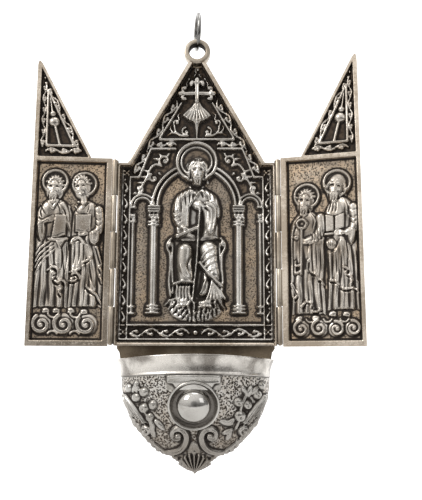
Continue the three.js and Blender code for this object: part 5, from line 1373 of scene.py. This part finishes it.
# finishes
class Wire:                  # a node's socket, so shader sums are written as plain Python
    def __init__(self, finish, socket):
        self.finish, self.socket = finish, socket
    def sums(self, operation, *values):
        return self.finish.node("ShaderNodeMath", {"operation": operation}, dict(enumerate(values)))
    def __add__(self, other):
        return self.sums("ADD", self, other)
    def __sub__(self, other):
        return self.sums("SUBTRACT", self, other)
    def __rsub__(self, other):
        return self.sums("SUBTRACT", other, self)
    def __mul__(self, other):
        return self.sums("MULTIPLY", self, other)
    __radd__ = __add__
    __rmul__ = __mul__
    def least(self, other):
        return self.sums("MINIMUM", self, other)
    def most(self, other):
        return self.sums("MAXIMUM", self, other)
    def steps(self, low, high):          # 0 below low, 1 above high, smooth between
        return self.finish.node("ShaderNodeMapRange", {"interpolation_type": "SMOOTHSTEP"},
                                {"Value": self, "From Min": low, "From Max": high})

class Finish:
    def __init__(self, owner):           # a material or a world
        self.owner = owner
        owner.use_nodes = True
        self.tree = owner.node_tree
        self.tree.nodes.clear()
    def node(self, kind, settings=None, sockets=None, out=0):
        made = self.tree.nodes.new(kind)
        for key, value in (settings or {}).items():
            if key == "stops":
                ramp = made.color_ramp
                while len(ramp.elements) < len(value):
                    ramp.elements.new(0.5)
                for element, (position, color) in zip(ramp.elements, value):
                    element.position, element.color = position, color
            else:
                setattr(made, key, value)
        for key, value in (sockets or {}).items():
            if isinstance(value, Wire):
                self.tree.links.new(value.socket, made.inputs[key])
            else:
                made.inputs[key].default_value = value
        return None if out is None else Wire(self, made.outputs[out])
    def mark(self, name):
        return self.node("ShaderNodeAttribute", {"attribute_name": name}, out="Fac")
    def noise(self, place, scale, detail=3.0, rough=0.55, stretch=None):
        if stretch:
            place = self.node("ShaderNodeMapping", {}, {"Vector": place, "Scale": stretch})
        return self.node("ShaderNodeTexNoise", {}, {"Vector": place, "Scale": scale, "Detail": detail, "Roughness": rough},
                         "Fac")
    def mix(self, factor, a, b):
        return self.node("ShaderNodeMix", {"data_type": "RGBA"}, {0: factor, 6: a, 7: b}, 2)
    def surface(self, color, metallic, roughness, normal, **fixed):
        shader = self.node("ShaderNodeBsdfPrincipled", {}, {"Base Color": color, "Metallic": metallic, "Roughness": roughness,
                                                            "Normal": normal, **fixed})
        self.node("ShaderNodeOutputMaterial", {}, {"Surface": shader}, None)
        return self.owner

def tone(red, green, blue):
    return (red, green, blue, 1.0)

silver = {
    "light": tone(0.62, 0.595, 0.56), "mid": tone(0.27, 0.24, 0.205), "tan": tone(0.52, 0.395, 0.275),
    "dark": tone(0.020, 0.014, 0.010),
    "rimLight": tone(0.60, 0.53, 0.45), "rimMid": tone(0.38, 0.32, 0.255), "field": tone(0.075, 0.055, 0.040),
    "halo": tone(0.21, 0.16, 0.115),
}

def agedSilver(name, light=None, mid=None, tan=None, dark=None, dirt=(0.6, 0.98), rough=0.2, grain=0.5, pits=None, extra=None,
               wear=0.3, masks=False):
    f = Finish(bpy.data.materials.new(name))
    light, mid, tan, dark = light or silver["light"], mid or silver["mid"], tan or silver["tan"], dark or silver["dark"]
    place = f.node("ShaderNodeTexCoord", {}, {}, "Object")
    hollow = f.mark("hollow")
    cloudy = f.noise(place, 70, 4, 0.6)                  # broad tarnish
    speckle = f.noise(place, 900, 3, 0.65)
    fine = f.noise(place, 3800, 2, 0.6)
    scratch = f.noise(place, 420, 2, 0.6, (1.0, 1.0, 14.0))
    scratches = (scratch.steps(0.66, 0.72) + f.noise(place, 380, 2, 0.6, (12.0, 1.0, 1.0)).steps(0.68, 0.74)).least(1.0)
    uneven = (cloudy - 0.5) * 0.22 + (speckle - 0.5) * 0.22
    deep = (hollow + uneven).steps(*dirt)
    worn = (1 - hollow + (speckle - 0.5) * 0.2 + (cloudy - 0.5) * 0.2).steps(0.5, 0.78)
    body = f.mix((cloudy + (fine - 0.5) * 0.5).steps(0.3, 0.72), mid, light)
    color = f.mix(worn * wear, body, light)
    height = speckle * 0.35 + fine * 0.2 - scratches * 0.3
    if masks:
        rim = f.mark("rim")
        freckles = (f.noise(place, 1300, 3, 0.7) + (cloudy - 0.5) * 0.3).steps(0.6, 0.72)
        stain = (cloudy + (speckle - 0.5) * 0.6).steps(0.36, 0.66)
        beige = f.mix(freckles * 0.5, f.mix(stain, silver["rimMid"], silver["rimLight"]), silver["rimMid"])
        color = f.mix(rim, color, beige)
        field = f.mark("field")
        shade = f.mix(field.steps(0.72, 0.95), silver["halo"], silver["field"])
        color = f.mix(field.steps(0.1, 0.6), color, f.mix(speckle.steps(0.4, 0.7), shade, silver["dark"]))
    if pits:
        ground = f.mark("ground")
        dots = f.node("ShaderNodeTexVoronoi", {"feature": "F1"}, {"Vector": place, "Scale": pits["scale"], "Randomness": 0.85},
                      "Distance")
        pit = (0.62 - dots + (speckle - 0.5) * 0.5).steps(pits["low"], pits["high"])
        color = f.mix(ground * pits["tint"], color, f.mix((cloudy + speckle * 0.6).steps(0.6, 1.0), tan, silver["rimMid"]))
        holes = ground * pit * pits["depth"]
        color = f.mix(holes * pits["dirt"], color, dark)
        height = height - holes * pits["bump"]
        deep = deep.most(holes * 0.35)
    if extra:
        color, deep = extra(f, place, color, deep)
    color = f.mix(deep, color, dark)
    bump = f.node("ShaderNodeBump", {}, {"Strength": grain, "Distance": 0.00012, "Height": height}, "Normal")
    metallic = 1.0 - deep * 0.55
    roughness = (speckle * 0.16 + rough + deep * 0.4 + scratches * 0.1 - worn * 0.06).least(0.9)
    return f.surface(color, metallic, roughness, bump)

def insideBowl(f, place, color, deep):       # lime and water marks inside, bright metal on the band, and painted shade towards the point
    inside, polish = f.mark("inside"), f.mark("polish")
    marks = f.noise(place, 260, 5, 0.7).steps(0.4, 0.75)
    stained = f.mix(marks, tone(0.20, 0.17, 0.13), tone(0.42, 0.38, 0.32))
    color = f.mix(inside, color, stained)
    rub = f.noise(place, 120, 4, 0.6)
    bright = f.mix((rub + f.noise(place, 60, 2, 0.5) - 0.5).steps(0.3, 0.65), tone(0.22, 0.20, 0.18), tone(0.66, 0.63, 0.59))
    color = f.mix(polish * 0.9, color, bright)
    # painted shade: darker and browner towards the point, standing in for the shade on the bowl's lower curve
    paintedLowShade = (f.node("ShaderNodeSeparateXYZ", {}, {0: place}, "Z") * -1.0 + rub * 0.012).steps(0.150, 0.182)
    color = f.mix(paintedLowShade * 0.68, color, tone(0.11, 0.085, 0.062))
    return color, deep * (1 - polish * 0.75)

def dishStain(f, place, color, deep):
    dish = f.mark("dish")
    rub = f.noise(place, 180, 4, 0.6)
    color = f.mix(dish * 0.85, color, f.mix(rub, tone(0.045, 0.038, 0.032), tone(0.15, 0.135, 0.12)))
    return color, deep * (1 - dish * 0.8)

fineStipple = {"scale": 1500, "low": 0.06, "high": 0.34, "tint": 0.92, "depth": 1.0, "dirt": 0.78, "bump": 1.6}
openStipple = {"scale": 1450, "low": 0.05, "high": 0.27, "tint": 0.7, "depth": 1.0, "dirt": 0.95, "bump": 2.6}

caseSilver = agedSilver("caseSilver", pits=fineStipple, light=tone(0.64, 0.615, 0.58), mid=tone(0.21, 0.185, 0.155),
                        dirt=(0.5, 0.94), masks=True)
doorSilver = agedSilver("doorSilver", pits=fineStipple, light=tone(0.60, 0.56, 0.51), mid=tone(0.24, 0.20, 0.16),
                        dirt=(0.55, 0.93), masks=True)
bowlSilver = agedSilver("bowlSilver", light=tone(0.56, 0.545, 0.52), mid=tone(0.25, 0.235, 0.21), tan=tone(0.60, 0.58, 0.55),
                        pits=openStipple, extra=insideBowl)
bossSilver = agedSilver("bossSilver", light=tone(0.50, 0.485, 0.46), mid=tone(0.27, 0.255, 0.235), rough=0.09, grain=0.2,
                        extra=dishStain, dirt=(0.7, 1.1))
# much darker than the other silver: partly the plate's own brown tarnish, partly painted shade for the shadow under the
# case's foot on the neck
shadedPlateSilver = agedSilver("shadedPlateSilver", light=tone(0.32, 0.26, 0.19), mid=tone(0.12, 0.09, 0.062), rough=0.34, dirt=(0.6, 0.95))
fittingSilver = agedSilver("fittingSilver", light=tone(0.52, 0.465, 0.39), mid=tone(0.28, 0.235, 0.185), rough=0.26,
                           dirt=(0.5, 0.8))
ringSilver = agedSilver("ringSilver", light=tone(0.34, 0.335, 0.325), mid=tone(0.13, 0.125, 0.12), rough=0.1, grain=0.3)
print("finishes ready")

# making
makeCase(caseSilver)
makeDoor("left_door", -1, carveLeftDoor, doorSilver)
makeDoor("right_door", 1, carveRightDoor, doorSilver)
makeBowl(bowlSilver)
makeBoss(bossSilver)
makePlate(shadedPlateSilver)
makeHinges(fittingSilver)
makeLoop(fittingSilver, ringSilver)

# studio
studio = {
    "camera": (0.00886, -0.25269, -0.13902), "turn": 0.72, "lift": 9.98, "roll": 0.18, "lens": 49.0,
    "lights": (      # name, place, size, power, colour
        ("keyPanel", (-0.6, -0.5, 0.4), 0.4, 3.4, (1.0, 0.985, 0.96)),
        ("fillPanel", (0.6, -0.5, 0.1), 0.4, 0.6, (0.98, 0.99, 1.0)),
        ("topPanel", (0.05, -0.1, 0.6), 0.4, 0.9, (1.0, 1.0, 1.0)),
    ),
}

def makeStudio():
    scene = bpy.context.scene
    scene.view_settings.view_transform = "Standard"
    data = bpy.data.cameras.new("studioCamera")
    camera = bpy.data.objects.new("studioCamera", data)
    scene.collection.objects.link(camera)
    data.lens, data.sensor_width, data.clip_start, data.clip_end = studio["lens"], 36.0, 0.01, 20.0
    camera.location = studio["camera"]
    turn, lift, roll = (math.radians(studio[k]) for k in ("turn", "lift", "roll"))
    camera.rotation_mode = "QUATERNION"
    camera.rotation_quaternion = (Matrix.Rotation(turn, 3, "Z") @ Matrix.Rotation(math.pi / 2 + lift, 3,
            "X") @ Matrix.Rotation(roll, 3, "Z")).to_quaternion()
    scene.camera = camera
    target = Vector((0, 0, (cadBox[0].z + cadBox[1].z) / 2))
    for name, place, size, power, color in studio["lights"]:
        light = bpy.data.lights.new(name, "AREA")
        light.shape, light.size, light.energy, light.color = "SQUARE", size, power, color
        lamp = bpy.data.objects.new(name, light)
        scene.collection.objects.link(lamp)
        lamp.location = place
        lamp.rotation_mode = "QUATERNION"
        lamp.rotation_quaternion = (target - Vector(place)).to_track_quat("-Z", "Y")
    world = bpy.data.worlds.new("studioRoom")
    scene.world = world
    w = Finish(world)
    toward = w.node("ShaderNodeTexCoord", {}, {}, "Generated")
    def facing(x, y, z):
        return w.node("ShaderNodeVectorMath", {"operation": "DOT_PRODUCT"}, {0: toward, 1: Vector((x, y, z)).normalized()},
                      "Value")
    glow = facing(-0.45, -0.35, 0.8).steps(-0.15, 0.8) * 1.15 + 0.1       # brighter high up on the left
    edge = facing(0.85, -0.5, 0.15).steps(0.7, 0.98) * 0.2
    shade = facing(0.03, -1.0, -0.06).steps(0.93, 0.99) * 0.55            # the dark gap where the camera stands
    level = (glow + edge) * (1 - shade)
    color = w.node("ShaderNodeCombineColor", {}, {0: level, 1: level * 0.99, 2: level * 0.97}, 0)
    w.node("ShaderNodeOutputWorld", {}, {"Surface": w.node("ShaderNodeBackground", {}, {"Color": color})}, None)

room = {"floor": -0.30, "wall": 0.75, "half": 2.2, "front": -0.36, "top": 1.8, "bend": 0.35}

def makeFloor():             # a pale floor that sweeps up into a pale wall
    bm = bmesh.new()
    bend = [(room["wall"] - room["bend"] + room["bend"] * math.sin(a),
             room["floor"] + room["bend"] * (1 - math.cos(a))) for a in (math.pi / 2 * k / 12 for k in range(13))]
    line = [(room["front"], room["floor"])] + bend + [(room["wall"], room["top"])]
    verts = [bm.verts.new((-room["half"], y, z)) for y, z in line]
    edges = [bm.edges.new(pair) for pair in zip(verts, verts[1:])]
    grown = bmesh.ops.extrude_edge_only(bm, edges=edges)["geom"]
    bmesh.ops.translate(bm, vec=(2 * room["half"], 0, 0), verts=[v for v in grown if isinstance(v, bmesh.types.BMVert)])
    bmesh.ops.recalc_face_normals(bm, faces=bm.faces)
    if sum((f.normal.z for f in bm.faces)) < 0:
        bmesh.ops.reverse_faces(bm, faces=bm.faces)
    for f in bm.faces:
        f.smooth = True
    mesh = bpy.data.meshes.new("paleFloor")
    bm.to_mesh(mesh)
    bm.free()
    floor = bpy.data.objects.new("paleFloor", mesh)
    bpy.context.scene.collection.objects.link(floor)
    f = Finish(bpy.data.materials.new("palePaper"))
    place = f.node("ShaderNodeTexCoord", {}, {}, "Object")
    paper = f.noise(place, 40, 4, 0.6)
    color = f.mix(paper, tone(0.76, 0.76, 0.76), tone(0.80, 0.80, 0.80))
    lift = f.node("ShaderNodeSeparateXYZ", {}, {0: place}, "Y").steps(0.25, 0.6)       # only the wall glows
    bump = f.node("ShaderNodeBump", {}, {"Strength": 0.05, "Distance": 0.0004, "Height": f.noise(place, 900)}, "Normal")
    mesh.materials.append(f.surface(color, 0.0, 0.8, bump, **{"Emission Color": f.mix(lift, tone(0, 0, 0), tone(1, 1, 1)),
                                                              "Emission Strength": 0.7}))

makeStudio()
makeFloor()
print("studio ready")
